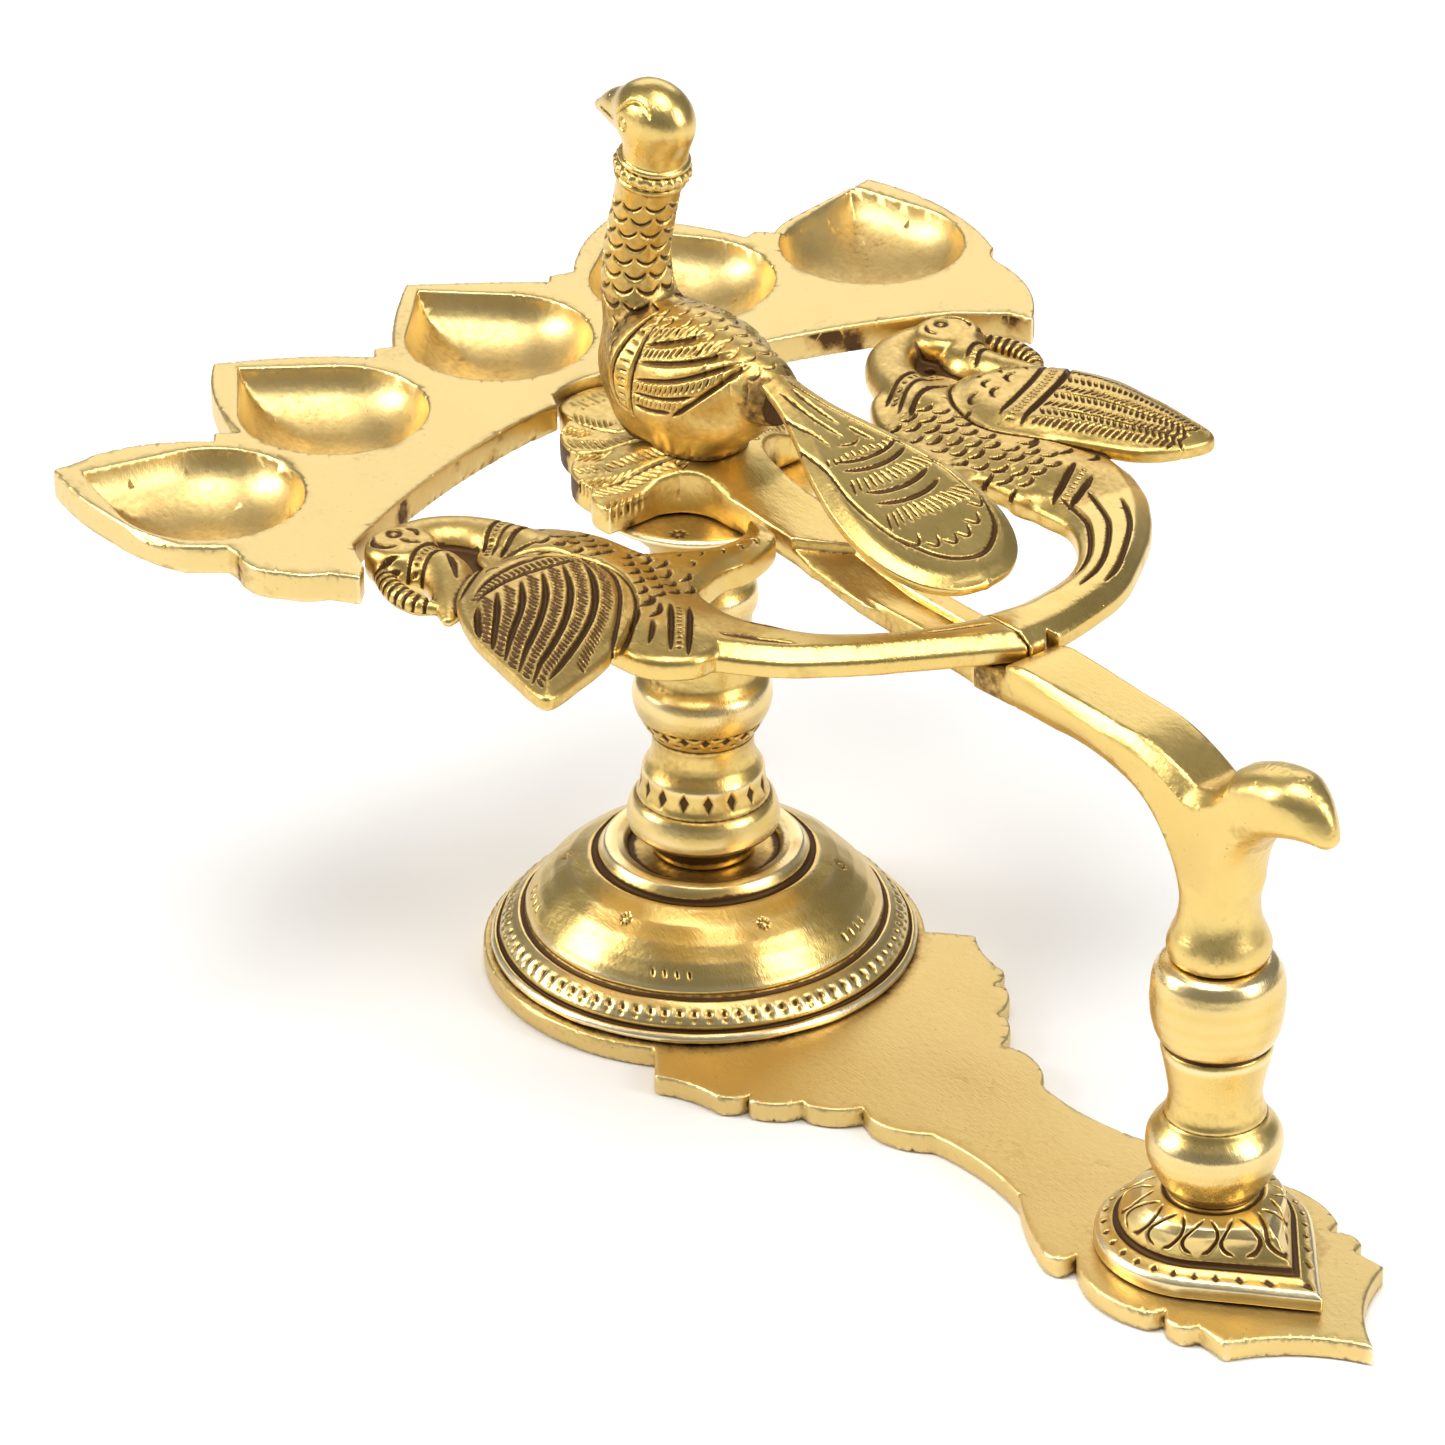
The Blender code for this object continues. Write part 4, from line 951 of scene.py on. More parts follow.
# Feathers of the leaf, y > 0: root and tip of each rib.
FEATHERS = (((-9.0, 2.6), (-24.4, 9.2)), ((-3.0, 4.2), (-17.6, 16.0)), ((4.0, 6.0), (-8.2, 20.6)), ((5.0, 10.0), (1.4, 23.0)))
FEATHER_GAPS = (((-8.0, 3.4), (-25.6, 8.0)), ((-4.0, 4.0), (-15.4, 15.2)), ((3.0, 6.0), (-3.6, 21.2)))


def mound(radius):
    """Height of the leaf's rise under the peacock."""
    return DECK_TOP - 0.6 + MOUND_H * (1 - (radius / MOUND_R) ** 2)


def leaf_spine():
    casting = Casting((-35, -25, 88.4), (79, 25, DECK_TOP + MOUND_H + 1), 0.24)
    half = arcs(LEAF_EDGE + ((SPINE_END, SPINE_HALF_W, 0.0),))
    edge = casting.outline(both_sides(half, half))
    x, y = casting.flat_x, casting.flat_y
    leaf_top = DECK_TOP - 1.1 * ease(10, 26, np.hypot(x - 2, y))
    ridge = 1.6 * (1 - np.abs(y) / SPINE_HALF_W)
    ramp = np.interp(casting.axes[0], (12, 30, 58, SPINE_END), (98.0, 97.4, SPINE_TOP - 1.5, SPINE_TOP - 1.5))
    on_leaf = ease(-0.3, 0.3, np.interp(casting.axes[0], (20, 28.5, 38.0, 41.0), (12.0, 9.0, 2.6, 0.0))[:, None] - np.abs(y))
    top = leaf_top * on_leaf + (ramp[:, None] + ridge) * (1 - on_leaf)
    top = np.where(x < 12, leaf_top, top)
    top = np.maximum(top, mound(np.hypot(x, y)))
    casting.add(casting.slab(edge, LEAF_LOW, top.astype(np.float32), 0.6))
    drop = np.interp(casting.axes[0], (22.7, 47.7, SPINE_END), (LEAF_LOW + 1, 90.6, 89.6))
    rib_edge = np.abs(y) - (SPINE_HALF_W - 1) + 0.0 * x
    rib = casting.slab(rib_edge, (drop[:, None] + 0.0 * y).astype(np.float32), LEAF_LOW + 1.0, 0.6)
    casting.add(np.maximum(rib, np.maximum(22.7 - casting.x, casting.x - SPINE_END)), 0.6)
    casting.roughen(17, 6.0, 0.08)

    cuts = Engraving(*casting.axes[:2])
    random = np.random.default_rng(3)
    for side in (1, -1):
        flip = np.array((1.0, side))
        for root, tip in FEATHERS:
            root, tip = np.array(root) * flip, np.array(tip) * flip
            cuts.stroke([root, tip], 1.5, -0.2, 0.3, 1)
            cuts.ticks([root, tip], 4.4, 1.15, 0.6, 0.48, 52.0, 2.3, random)
            cuts.ticks([root, tip], 4.4, 1.15, 0.6, 0.48, -52.0, -2.3, random)
        for root, tip in FEATHER_GAPS:
            cuts.stroke([np.array(root) * flip, np.array(tip) * flip], 1.1, 0.75, 0.25, 1)
    cuts.ticks([(-32.4, -4.6), (-32.4, 4.6)], 5.0, 1.2, 0.45, 0.26, 96.0, -3.6, random)
    casting.engrave_top(cuts, 96.6)

    def shade_and_patina(points):
        blotch = waves(points[:, 0], points[:, 1], points[:, 2], 44, 8.0)
        wall = (points[:, 2] < 98.4) & (points[:, 0] < 34)
        # The side walls darken in blotches: painted shade with patchy patina.
        grey = 0.8 * wall * ease(0.0, 0.7, blotch) * (points[:, 2] > LEAF_LOW)
        # Patchy patina along the spine, then painted shade on the spine's flanks.
        spine = 0.25 * ease(30, 40, points[:, 0]) * ease(-0.5, 1.2, blotch)
        spine = spine + 0.2 * (points[:, 0] > 38) * (np.abs(points[:, 1]) > 5.4)
        feathers = 0.16 * (points[:, 2] > 97.5) * (points[:, 0] < 6) * (np.hypot(points[:, 0], points[:, 1]) > 9)
        return grey + spine + feathers

    ob = cast("leaf_casting", casting, shade_and_patina, detail=0.1)
    return dress(ob, "leaf_spine", brass("leaf_brass", GOLD, PALE, 0.28, 0.10))


# ---------------------------------------------------------------- side birds

# Shared outlines, y > 0. The right bird, at y < 0, has the same shapes turned over and its own engraving.
BODY_EDGE = ((3.2, 35.4), (10.0, 31.0), (18.0, 29.4), (28.0, 29.2), (40.0, 31.4), (49.0, 33.4), (55.0, 44.0), (50.0, 52.0), (40.0, 54.0), (20.0, 54.0), (9.0, 53.0), (2.8, 51.2), (0.6, 46.0), (0.8, 40.0))
WING_EDGES = {
    1: ((9.2, 54.6), (9.8, 48.8), (14.6, 44.4), (20.0, 42.4), (26.0, 42.0), (32.0, 44.8), (38.0, 49.4), (44.0, 52.8), (49.4, 56.4), (53.0, 62.0), (54.4, 68.0), (52.4, 70.8), (46.0, 71.6), (36.0, 72.0), (26.0, 71.2), (18.0, 67.6), (12.4, 62.4)),
    -1: ((9.2, 54.6), (9.6, 47.6), (14.4, 42.4), (20.0, 39.8), (27.0, 39.6), (35.0, 43.2), (41.6, 49.6), (46.4, 57.4), (49.6, 66.0), (51.2, 75.0), (40.0, 73.8), (27.0, 71.0), (17.0, 66.4), (11.4, 60.8)),
}
NECK_PATH = ((11.0, 41.4), (4.0, 43.2), (-3.4, 45.8), (-8.2, 50.2), (-9.6, 55.6), (-7.6, 60.6), (-3.2, 63.6))
NECK_RADII = (5.4, 5.0, 4.5, 4.3, 4.4, 4.6, 4.2)
BEAK_PATH = ((-2.0, 60.6), (3.0, 58.8), (8.0, 60.4), (12.4, 64.0), (16.0, 67.4))
BEAK_RADII = (4.8, 4.8, 4.2, 3.0, 1.2)
CREST_PATH = ((-3.4, 66.0), (0.6, 67.8), (4.6, 68.6), (8.6, 68.2), (11.6, 66.8))
CREST_RADII = (1.7, 1.9, 2.0, 1.8, 1.2)
ARM_EDGE = ((19.6, 33.0), (22.0, 27.0), (25.6, 21.5), (26.8, 16.0), (25.8, 11.6), (23.0, 8.4), (24.6, 7.7), (29.6, 8.2), (32.6, 12.0), (34.4, 17.6), (34.2, 23.0), (36.0, 29.0), (36.0, 33.4))
HOOP_EDGES = {
    1: ((43.0, 33.4), (50.1, 32.6), (58.5, 32.4), (65.8, 27.8), (70.8, 20.6), (73.0, 9.0), (72.6, -3.0), (85.3, -3.0), (85.3, 1.0), (85.0, 9.0), (81.4, 23.4), (75.0, 34.0), (66.8, 43.8), (56.0, 51.4), (46.0, 52.4)),
    -1: ((40.0, 34.0), (49.6, 29.0), (57.5, 24.9), (62.5, 20.0), (68.4, 11.0), (72.0, 0.6), (72.4, -3.0), (85.2, -3.0), (84.9, 0.6), (79.8, 9.6), (74.5, 18.8), (69.0, 27.5), (62.0, 36.0), (51.5, 43.6), (42.0, 48.4)),
}
# The hollow that neck and beak enclose, filled low down; its floor gets painted shade
THROAT_EDGE = ((-5.0, 47.6), (4.0, 45.0), (11.0, 47.0), (12.0, 58.0), (4.0, 60.0), (-6.0, 58.0))


def hoop_line(side, share):
    """A line along the hoop, share of the way from its inner to its outer edge, y > 0."""
    edge = HOOP_EDGES[side]
    inner, outer = smooth_line(edge[1:6], 8), smooth_line(edge[8:14][::-1], 8)
    count = 12
    pick = [np.linspace(0, len(e) - 1, count).astype(int) for e in (inner, outer)]
    return inner[pick[0]] * (1 - share) + outer[pick[1]] * share


def bird_shape(side):
    """The plain casting of one side bird."""
    casting = Casting((-16, 0.0, 93.4), (87.0, 76.5, 104.0), 0.22)
    body_edge = casting.outline(smooth_line(BODY_EDGE, 8, True))
    body_top = DECK_TOP - 0.6 + 1.7 * ease(0, 9, -body_edge)
    casting.add(casting.slab(body_edge, BIRD_LOW, body_top.astype(np.float32), 1.5))
    hoop_edge = casting.outline(smooth_line(HOOP_EDGES[side], 6, True))
    hoop_top = HOOP_TOP + 0.3 - 1.5 * (1 - ease(0.0, 3.6, -hoop_edge))
    casting.add(casting.slab(hoop_edge, BIRD_LOW, hoop_top.astype(np.float32), 0.9), 1.0)
    if side > 0:
        notch = np.abs(casting.flat_y - 5.0) * 1.2 - (casting.flat_x - 83.6)
        casting.cut(notch[:, :, None] + 0 * casting.z, 0.3)
    arm_edge = casting.outline(smooth_line(ARM_EDGE, 6, True))
    arm_top = DECK_TOP + 0.1 - 0.9 * (1 - ease(0.0, 3.0, -arm_edge))
    casting.add(casting.slab(arm_edge, BIRD_LOW, arm_top.astype(np.float32), 0.5), 0.8)
    throat = casting.outline(THROAT_EDGE)
    throat = np.maximum(throat, 1.0 - np.hypot(casting.flat_x + 1.2, casting.flat_y - 53.0))
    casting.add(casting.slab(throat.astype(np.float32), BIRD_LOW, 97.6, 0.3), 0.6)
    mid = (DECK_TOP + BIRD_LOW) / 2 + 0.2
    neck = casting.bar([(x, y, mid) for x, y in NECK_PATH], NECK_RADII, 0.78)
    casting.add(neck, 0.8)
    wing_edge = casting.outline(smooth_line(WING_EDGES[side], 8, True))
    wing_top = 101.0 + 1.7 * ease(0, 5, -wing_edge)
    wing = casting.slab(wing_edge, 98.2, wing_top.astype(np.float32), 0.9)
    around = np.clip(np.abs(wing_edge) / 0.9, 0, 1)[:, :, None]
    casting.field += 0.8 * (1 - around) * ease(98.6, 99.6, casting.z) * (wing_edge > 0)[:, :, None]
    casting.add(wing)
    beak = casting.bar([(x, y, mid + 0.2) for x, y in BEAK_PATH], BEAK_RADII, 0.84)
    casting.add(beak, 0.3)
    head = np.hypot(casting.flat_x + 5.4, casting.flat_y - 60.6) - 6.3
    casting.add(casting.slab(head.astype(np.float32), BIRD_LOW, 101.9, 2.2), 0.4)
    crest = casting.bar([(x, y, mid + 0.4) for x, y in CREST_PATH], CREST_RADII, 1.0)
    casting.add(crest, 0.2)
    casting.field = np.maximum(casting.field, BIRD_LOW - casting.z)
    casting.field = np.maximum(casting.field, 0.03 - casting.y)
    casting.roughen(50 + side, 7.0, 0.06)
    return casting


def between(first, second, share):
    """A line between two lines, each given by points."""
    a, b = (smooth_line(line, 8) for line in (first, second))
    pick = [np.linspace(0, len(line) - 1, 14).astype(int) for line in (a, b)]
    return a[pick[0]] * (1 - share) + b[pick[1]] * share


def shifted(points, by):
    return [np.array(p, float) + by for p in points]


def scale_rows(cuts, inside, origin, pitch, rows, columns, size, turn_deg, width, depth, random, bead=0.0):
    """Staggered rows of crescents wherever inside(x, y) holds."""
    for i in range(columns):
        for j in range(rows):
            x = origin[0] + pitch[0] * i + random.uniform(-0.25, 0.25)
            y = origin[1] + pitch[1] * (j + 0.5 * (i % 2)) + random.uniform(-0.25, 0.25)
            if inside(x, y):
                cuts.dome((x - 0.2, y), size * 0.95, size * 0.9, bead)
                cuts.crescent((x, y), size, turn_deg + random.uniform(-12, 12), width, depth)


def engrave_right(cuts, random):
    """The bird at y < 0, drawn here with y turned."""
    by = np.array((1.0, 0.7))
    grooves = (
        ((19.2, 41.4), (27.0, 45.4), (34.0, 51.0), (40.0, 58.4), (44.6, 66.0), (47.6, 71.6)),
        ((18.8, 45.4), (26.0, 49.6), (32.6, 55.6), (38.0, 62.2), (42.6, 69.0), (45.6, 73.4)),
        ((18.6, 49.6), (25.0, 54.0), (31.0, 60.0), (36.4, 66.6), (41.2, 72.8)),
        ((19.0, 54.4), (25.0, 59.0), (31.0, 65.6), (36.6, 72.0)),
        ((19.6, 60.0), (24.6, 64.0), (29.0, 68.0), (32.2, 71.0)),
        ((20.4, 64.8), (24.0, 67.6), (27.6, 70.0)),
    )
    rim = ((18.6, 38.8), (25.0, 39.8), (31.4, 43.4), (37.4, 48.6), (42.4, 53.6), (46.4, 57.6))
    lines = [shifted(line, by) for line in (rim,) + grooves]
    cuts.stroke(lines[0], 0.9, 0.6, 0.2)
    for line in lines[1:]:
        cuts.stroke(line, 1.35, 0.95, 0.25)
    for first, second in zip(lines, lines[1:]):
        cuts.ticks(between(first, second, 0.5), 3.0, 1.15, 0.6, 0.48, -42.0, 0.0, random)
    inner = shifted(((15.8, 40.0), (14.4, 48.0), (14.6, 56.0), (17.4, 63.4)), by)
    outer = shifted(((18.8, 38.6), (18.4, 45.0), (17.4, 52.0), (17.6, 58.0), (19.4, 64.4)), by)
    cuts.stroke(inner, 0.8, 0.5, 0.15)
    cuts.stroke(outer, 1.0, 0.75, 0.15)
    cuts.ticks(between(inner, outer, 0.55), 2.2, 1.1, 0.6, 0.48, 90.0)
    front = shifted(((9.0, 41.4), (7.6, 47.4), (8.2, 53.0), (11.6, 58.6), (16.0, 65.4)), (0.6, 0.4))
    cuts.stroke(front, 0.9, 0.6, 0.15)
    for x, y in ((10.6, 46.4), (12.2, 44.0), (11.0, 51.2), (12.8, 49.0), (12.6, 55.6)):
        cuts.crescent((x + 1, y + 0.7), 1.3, 200, 0.65, 0.5)
    for line, width, depth in (
        (((-1.6, 37.4), (-1.8, 41.6), (0.2, 46.4), (3.6, 50.4)), 0.9, 0.6),
        (((0.8, 37.2), (0.8, 41.0), (2.8, 46.0), (5.8, 50.4)), 0.7, 0.4),
        (((3.6, 37.0), (3.4, 41.0), (5.0, 45.6), (7.4, 49.6)), 1.1, 0.75),
    ):
        cuts.stroke(line, width, depth, 0.15)
    cuts.ticks([(-0.4, 37.4), (-0.6, 41.4), (1.4, 46.2), (4.6, 50.4)], 1.3, 1.0, 0.5, 0.3)
    for line in (((-1.4, 55.0), (-1.4, 59.4), (0.2, 63.0), (2.6, 66.0)), ((1.4, 54.6), (1.4, 58.6), (3.0, 62.4), (5.6, 65.4))):
        cuts.stroke(line, 0.8, 0.55, 0.15)
    cuts.ticks([(0.0, 54.8), (0.0, 59.0), (1.6, 62.8), (4.0, 65.8)], 1.7, 1.1, 0.45, 0.28)
    cuts.stroke([(2.8, 57.4), (6.0, 58.6), (10.2, 61.0)], 1.3, 0.8, 0.4)
    cuts.stroke([(-9.6, 63.4), (-7.4, 65.0), (-5.2, 64.4), (-4.2, 62.4)], 1.1, 0.8, 0.35)
    cuts.stroke([(-8.4, 57.6), (-6.6, 56.8), (-4.8, 57.6)], 0.8, 0.55, 0.3)
    cuts.dome((-8.0, 60.2), 1.6, 1.6, -0.6)
    cuts.dome((-8.0, 60.2), 0.9, 0.9, 0.7)
    cuts.stroke([(-6.0, 60.6), (-4.2, 60.0), (-2.6, 58.6)], 0.7, 0.5, 0.3)
    scale_rows(cuts, lambda x, y: 8.5 < x < 18 and y < 43.5 - 0.25 * (x - 5) and y > 32, (9.4, 33.4), (2.7, 2.9), 4, 4, 1.4, 0, 0.8, 0.8, random, 0.3)
    cuts.stroke([(18.0, 33.2), (18.6, 35.6), (18.6, 38.0)], 0.7, 0.5, 0.3)
    scale_rows(cuts, lambda x, y: x > 19 and y < 31.5 + 0.62 * (x - 16), (20.6, 30.6), (3.0, 3.1), 4, 6, 1.55, -20, 0.85, 0.85, random, 0.45)
    for line in (
        ((35.4, 39.4), (37.4, 41.4), (37.0, 44.2)),
        ((38.2, 40.2), (40.6, 42.4), (41.0, 44.8)),
        ((37.2, 44.2), (39.6, 46.4), (41.6, 49.6)),
        ((42.0, 45.0), (44.4, 47.0), (46.6, 49.6)),
    ):
        cuts.stroke(line, 1.1, 0.75, 0.35)
    for line in (((39.2, 38.8), (45.0, 43.4), (50.4, 48.0)), ((41.8, 36.8), (47.6, 41.6), (53.0, 46.4))):
        cuts.stroke(line, 1.2, 0.85, 0.25)
    cuts.ticks([(41.0, 38.4), (46.4, 42.8), (51.4, 47.0)], 1.2, 1.2, 0.55, 0.35)
    cuts.stroke(hoop_line(-1, 0.22)[0:11], 0.9, 0.55, 0.12, 3)
    cuts.stroke(hoop_line(-1, 0.62)[0:4], 0.9, 0.5, 0.3, 3)
    for start in (8, 9):
        cuts.stroke(hoop_line(-1, 0.45)[start : start + 3], 0.6, 0.35, 0.3, 3)


def engrave_left(cuts, random):
    """The bird at y > 0."""
    by = np.array((1.0, -0.8))
    bands = (((14.4, 66.6), (18.0, 61.0), (21.6, 53.6), (24.8, 46.0)), ((17.6, 68.8), (21.4, 64.6), (25.0, 57.0), (29.2, 47.0)))
    first, second = (shifted(line, by) for line in bands)
    cuts.stroke(first, 1.0, 0.65, 0.15)
    cuts.stroke(second, 1.3, 0.9, 0.15)
    cuts.ticks(between(first, second, 0.5), 1.7, 1.15, 0.5, 0.3)
    upper = shifted(((21.0, 67.0), (30.0, 70.6), (40.0, 71.4), (50.0, 70.6)), by)
    lower = shifted(((30.0, 49.0), (37.0, 53.6), (44.0, 57.4), (51.4, 63.0)), by)
    for k, share in enumerate((0.04, 0.20, 0.36, 0.52, 0.68, 0.84, 0.98)):
        row = between(upper, lower, share)
        cuts.ticks(row, 2.4, 1.2, 0.62, 0.5, (62.0, 118.0)[k % 2], 0.0, random)
    for share in (0.36, 0.68):
        cuts.stroke(between(upper, lower, share + 0.08)[1:], 0.8, 0.6, 0.2, 2)
    for x, y, size in ((12.6, 62.0, 1.3), (15.2, 61.6, 1.3), (13.2, 57.6, 1.5), (16.4, 56.6, 1.9), (12.2, 53.4, 1.3), (15.6, 51.8, 1.7), (19.0, 51.0, 2.0), (17.4, 47.2, 1.7)):
        cuts.crescent((x + 1, y - 0.8), size, 215, 0.75, 0.6)
    for line, width, depth in (
        (((2.8, 51.0), (2.4, 46.0), (4.0, 40.4), (7.4, 35.4)), 0.9, 0.6),
        (((5.6, 50.6), (5.4, 45.6), (7.4, 40.0), (11.4, 34.8)), 0.8, 0.5),
        (((9.0, 48.6), (9.2, 44.0), (11.2, 38.8), (15.2, 33.8)), 1.1, 0.7),
    ):
        cuts.stroke(line, width, depth, 0.15)
    for place in np.linspace(0.05, 0.95, 9):
        line = smooth_line(((4.0, 51.0), (3.8, 46.0), (5.6, 40.4), (9.0, 35.4)), 8)
        cuts.dome(line[int(place * (len(line) - 1))], 0.55, 0.55, -0.35)
    for line in (((1.6, 66.4), (1.8, 61.0), (4.4, 56.4)), ((4.6, 66.0), (4.4, 60.6), (7.0, 56.2))):
        cuts.stroke(line, 0.9, 0.6, 0.15)
    cuts.ticks([(3.0, 66.0), (3.0, 61.0), (5.6, 56.4)], 1.6, 1.1, 0.45, 0.3)
    cuts.stroke([(6.0, 63.6), (9.0, 65.0), (12.0, 66.0)], 0.7, 0.45)
    cuts.stroke([(-9.0, 62.6), (-7.2, 64.6), (-5.0, 65.0), (-3.4, 64.0)], 0.9, 0.7, 0.3)
    cuts.stroke([(-8.6, 58.4), (-6.8, 57.2), (-4.6, 57.6)], 0.8, 0.5)
    cuts.dome((-7.4, 60.8), 1.5, 1.5, -0.55)
    cuts.dome((-7.4, 60.8), 0.8, 0.8, 0.65)
    scale_rows(cuts, lambda x, y: (x < 44 and 30 < y < 43.4 - 0.4 * abs(x - 22)) or (33 < x < 44 and y < 45), (13.4, 31.8), (3.0, 3.5), 5, 11, 1.7, -12, 1.0, 0.95, random, 0.4)
    for line in (((34.0, 46.6), (36.0, 44.8), (36.6, 42.4)), ((40.0, 49.6), (41.6, 47.4), (41.4, 44.8)), ((43.4, 52.4), (45.4, 50.4), (45.6, 48.0))):
        cuts.stroke(line, 0.9, 0.6, 0.35)
    for line in (((45.4, 45.6), (48.6, 40.0), (52.0, 34.4)), ((50.2, 45.2), (52.8, 40.0), (55.4, 35.0))):
        cuts.stroke(line, 1.3, 0.9, 0.25)
    cuts.ticks([(48.0, 45.4), (50.8, 40.0), (53.8, 34.8)], 1.2, 1.3, 0.5, 0.3)
    for share, start, stop in ((0.22, 0, 9), (0.48, 0, 9), (0.74, 1, 8)):
        cuts.stroke(hoop_line(1, share)[start:stop], 1.0, 0.8, 0.12, 3)


def side_bird(node, slot, side, engrave, seed):
    casting = bird_shape(side)
    cuts = Engraving(*casting.axes[:2])
    engrave(cuts, np.random.default_rng(seed))
    random = np.random.default_rng(seed + 1)
    for x, y, turn in ((25.4, 26.4, -60), (27.6, 23.4, -65), (29.4, 20.2, -75), (30.4, 17.0, -80), (30.2, 13.8, -90), (29.6, 26.8, -60)):
        cuts.crescent((x, y), 1.3, turn + random.uniform(-8, 8), 0.6, 0.45)
    cuts.ticks(CREST_PATH, 5.4, 1.7, 0.8, 0.6)
    throat = cuts.a[:, None] + 0 * cuts.b[None, :], cuts.b[None, :] + 0 * cuts.a[:, None]
    throat = outline_distance(*throat, np.array(THROAT_EDGE))
    casting.engrave_top(cuts, 97.6)

    def shade_and_patina(points):
        blotch = waves(points[:, 0], points[:, 1], points[:, 2], seed, 9.0)
        # The walls below the top darken in blotches: painted shade with patchy patina.
        wall = 0.25 * (points[:, 2] < 97.6) * ease(-0.2, 0.8, blotch)
        engraved = (points[:, 2] > 97.4) & (points[:, 0] < 56) & (points[:, 1] > 28)
        grooves = sampled_plane(cuts.depth, cuts, points) * (points[:, 2] > 97.4)
        # Painted shade on the filled floor of the throat hollow.
        hollow = 0.9 * (sampled_plane(throat, cuts, points) < 0) * (points[:, 2] < 98.4)
        seam = 0.3 * (points[:, 1] < 0.6)
        return wall + hollow + seam + 0.26 * engraved + np.clip(1.3 * grooves, -0.25, 0.8)

    ob = cast(node + "_casting", casting, shade_and_patina, detail=0.04, dark=1.15, place=lambda p: p * (1, side, 1))
    return dress(ob, node, brass(slot, GOLD, PALE, 0.24, 0.07))


def sampled_plane(values, cuts, points):
    i = np.clip(np.searchsorted(cuts.a, points[:, 0]), 0, len(cuts.a) - 1)
    j = np.clip(np.searchsorted(cuts.b, points[:, 1]), 0, len(cuts.b) - 1)
    return values[i, j]


# ---------------------------------------------------------------- handle

GRIP_X = 132.6
GRIP_PROFILE = (
    (0.0, 60.4),
    (8.3, 60.4),
    (9.8, 59.6),
    (10.7, 58.0),
    (11.1, 56.2),
    (11.3, 53.0),
    (11.1, 50.0),
    (10.6, 47.4),
    (10.0, 45.8),
    (9.0, 44.9),
    (9.2, 44.3),
    (9.5, 43.6),
    (9.0, 41.6),
    (8.4, 39.2),
    (8.0, 36.8),
    (7.8, 34.6),
    (8.2, 32.2),
    (9.2, 29.9),
    (10.6, 28.3),
    (11.3, 27.0),
    (11.5, 25.0),
    (11.2, 22.8),
    (10.4, 20.6),
    (9.4, 18.6),
    (8.3, 17.3),
    (7.9, 16.2),
    (0.0, 16.2),
)


def grip_column():
    column = Turned(GRIP_X, GRIP_PROFILE, 420, 0.26, 3)
    column.ring(9.0, 44.8, 0.9, 0.45)
    column.ring(9.0, 31.0, 0.6, 0.2)
    # Painted shade at the bottom, where the column stands on the boss.
    ob = column.build("grip_casting", lambda p: 0.35 * np.clip((18.2 - p[:, 2]) / 2, 0, 1), 0.08, 6)
    return dress(ob, "grip_column", brass("grip_brass", GOLD, PALE, 0.23, 0.06))


ARM_SIDE = (
    (78.0, 89.6, 0.0),
    (78.0, 94.7, 0.0),
    (85.3, 94.7, 0.0),
    (85.6, 96.6, 0.2),
    (90.0, 97.8, 0.1),
    (113.0, 97.2, 1.2),
    (130.6, 93.0, -1.4),
    (138.0, 98.6, 1.0),
    (151.4, 102.2, 2.2),
    (159.4, 93.2, 0.2),
    (157.6, 91.6, -0.8),
    (146.6, 89.4, -2.0),
    (140.0, 75.4, -0.4),
    (137.8, 64.0, 0.0),
    (127.4, 64.0, -0.4),
    (125.4, 76.4, -2.2),
    (114.0, 87.8, -0.8),
    (98.0, 89.6, 0.0),
    (78.0, 89.6, 0.0),
)
NECK_BULB = ((5.6, 73.5), (5.8, 71.5), (6.4, 69.4), (7.2, 67.2), (8.4, 65.0), (8.8, 63.2), (8.6, 61.6), (8.0, 60.7))


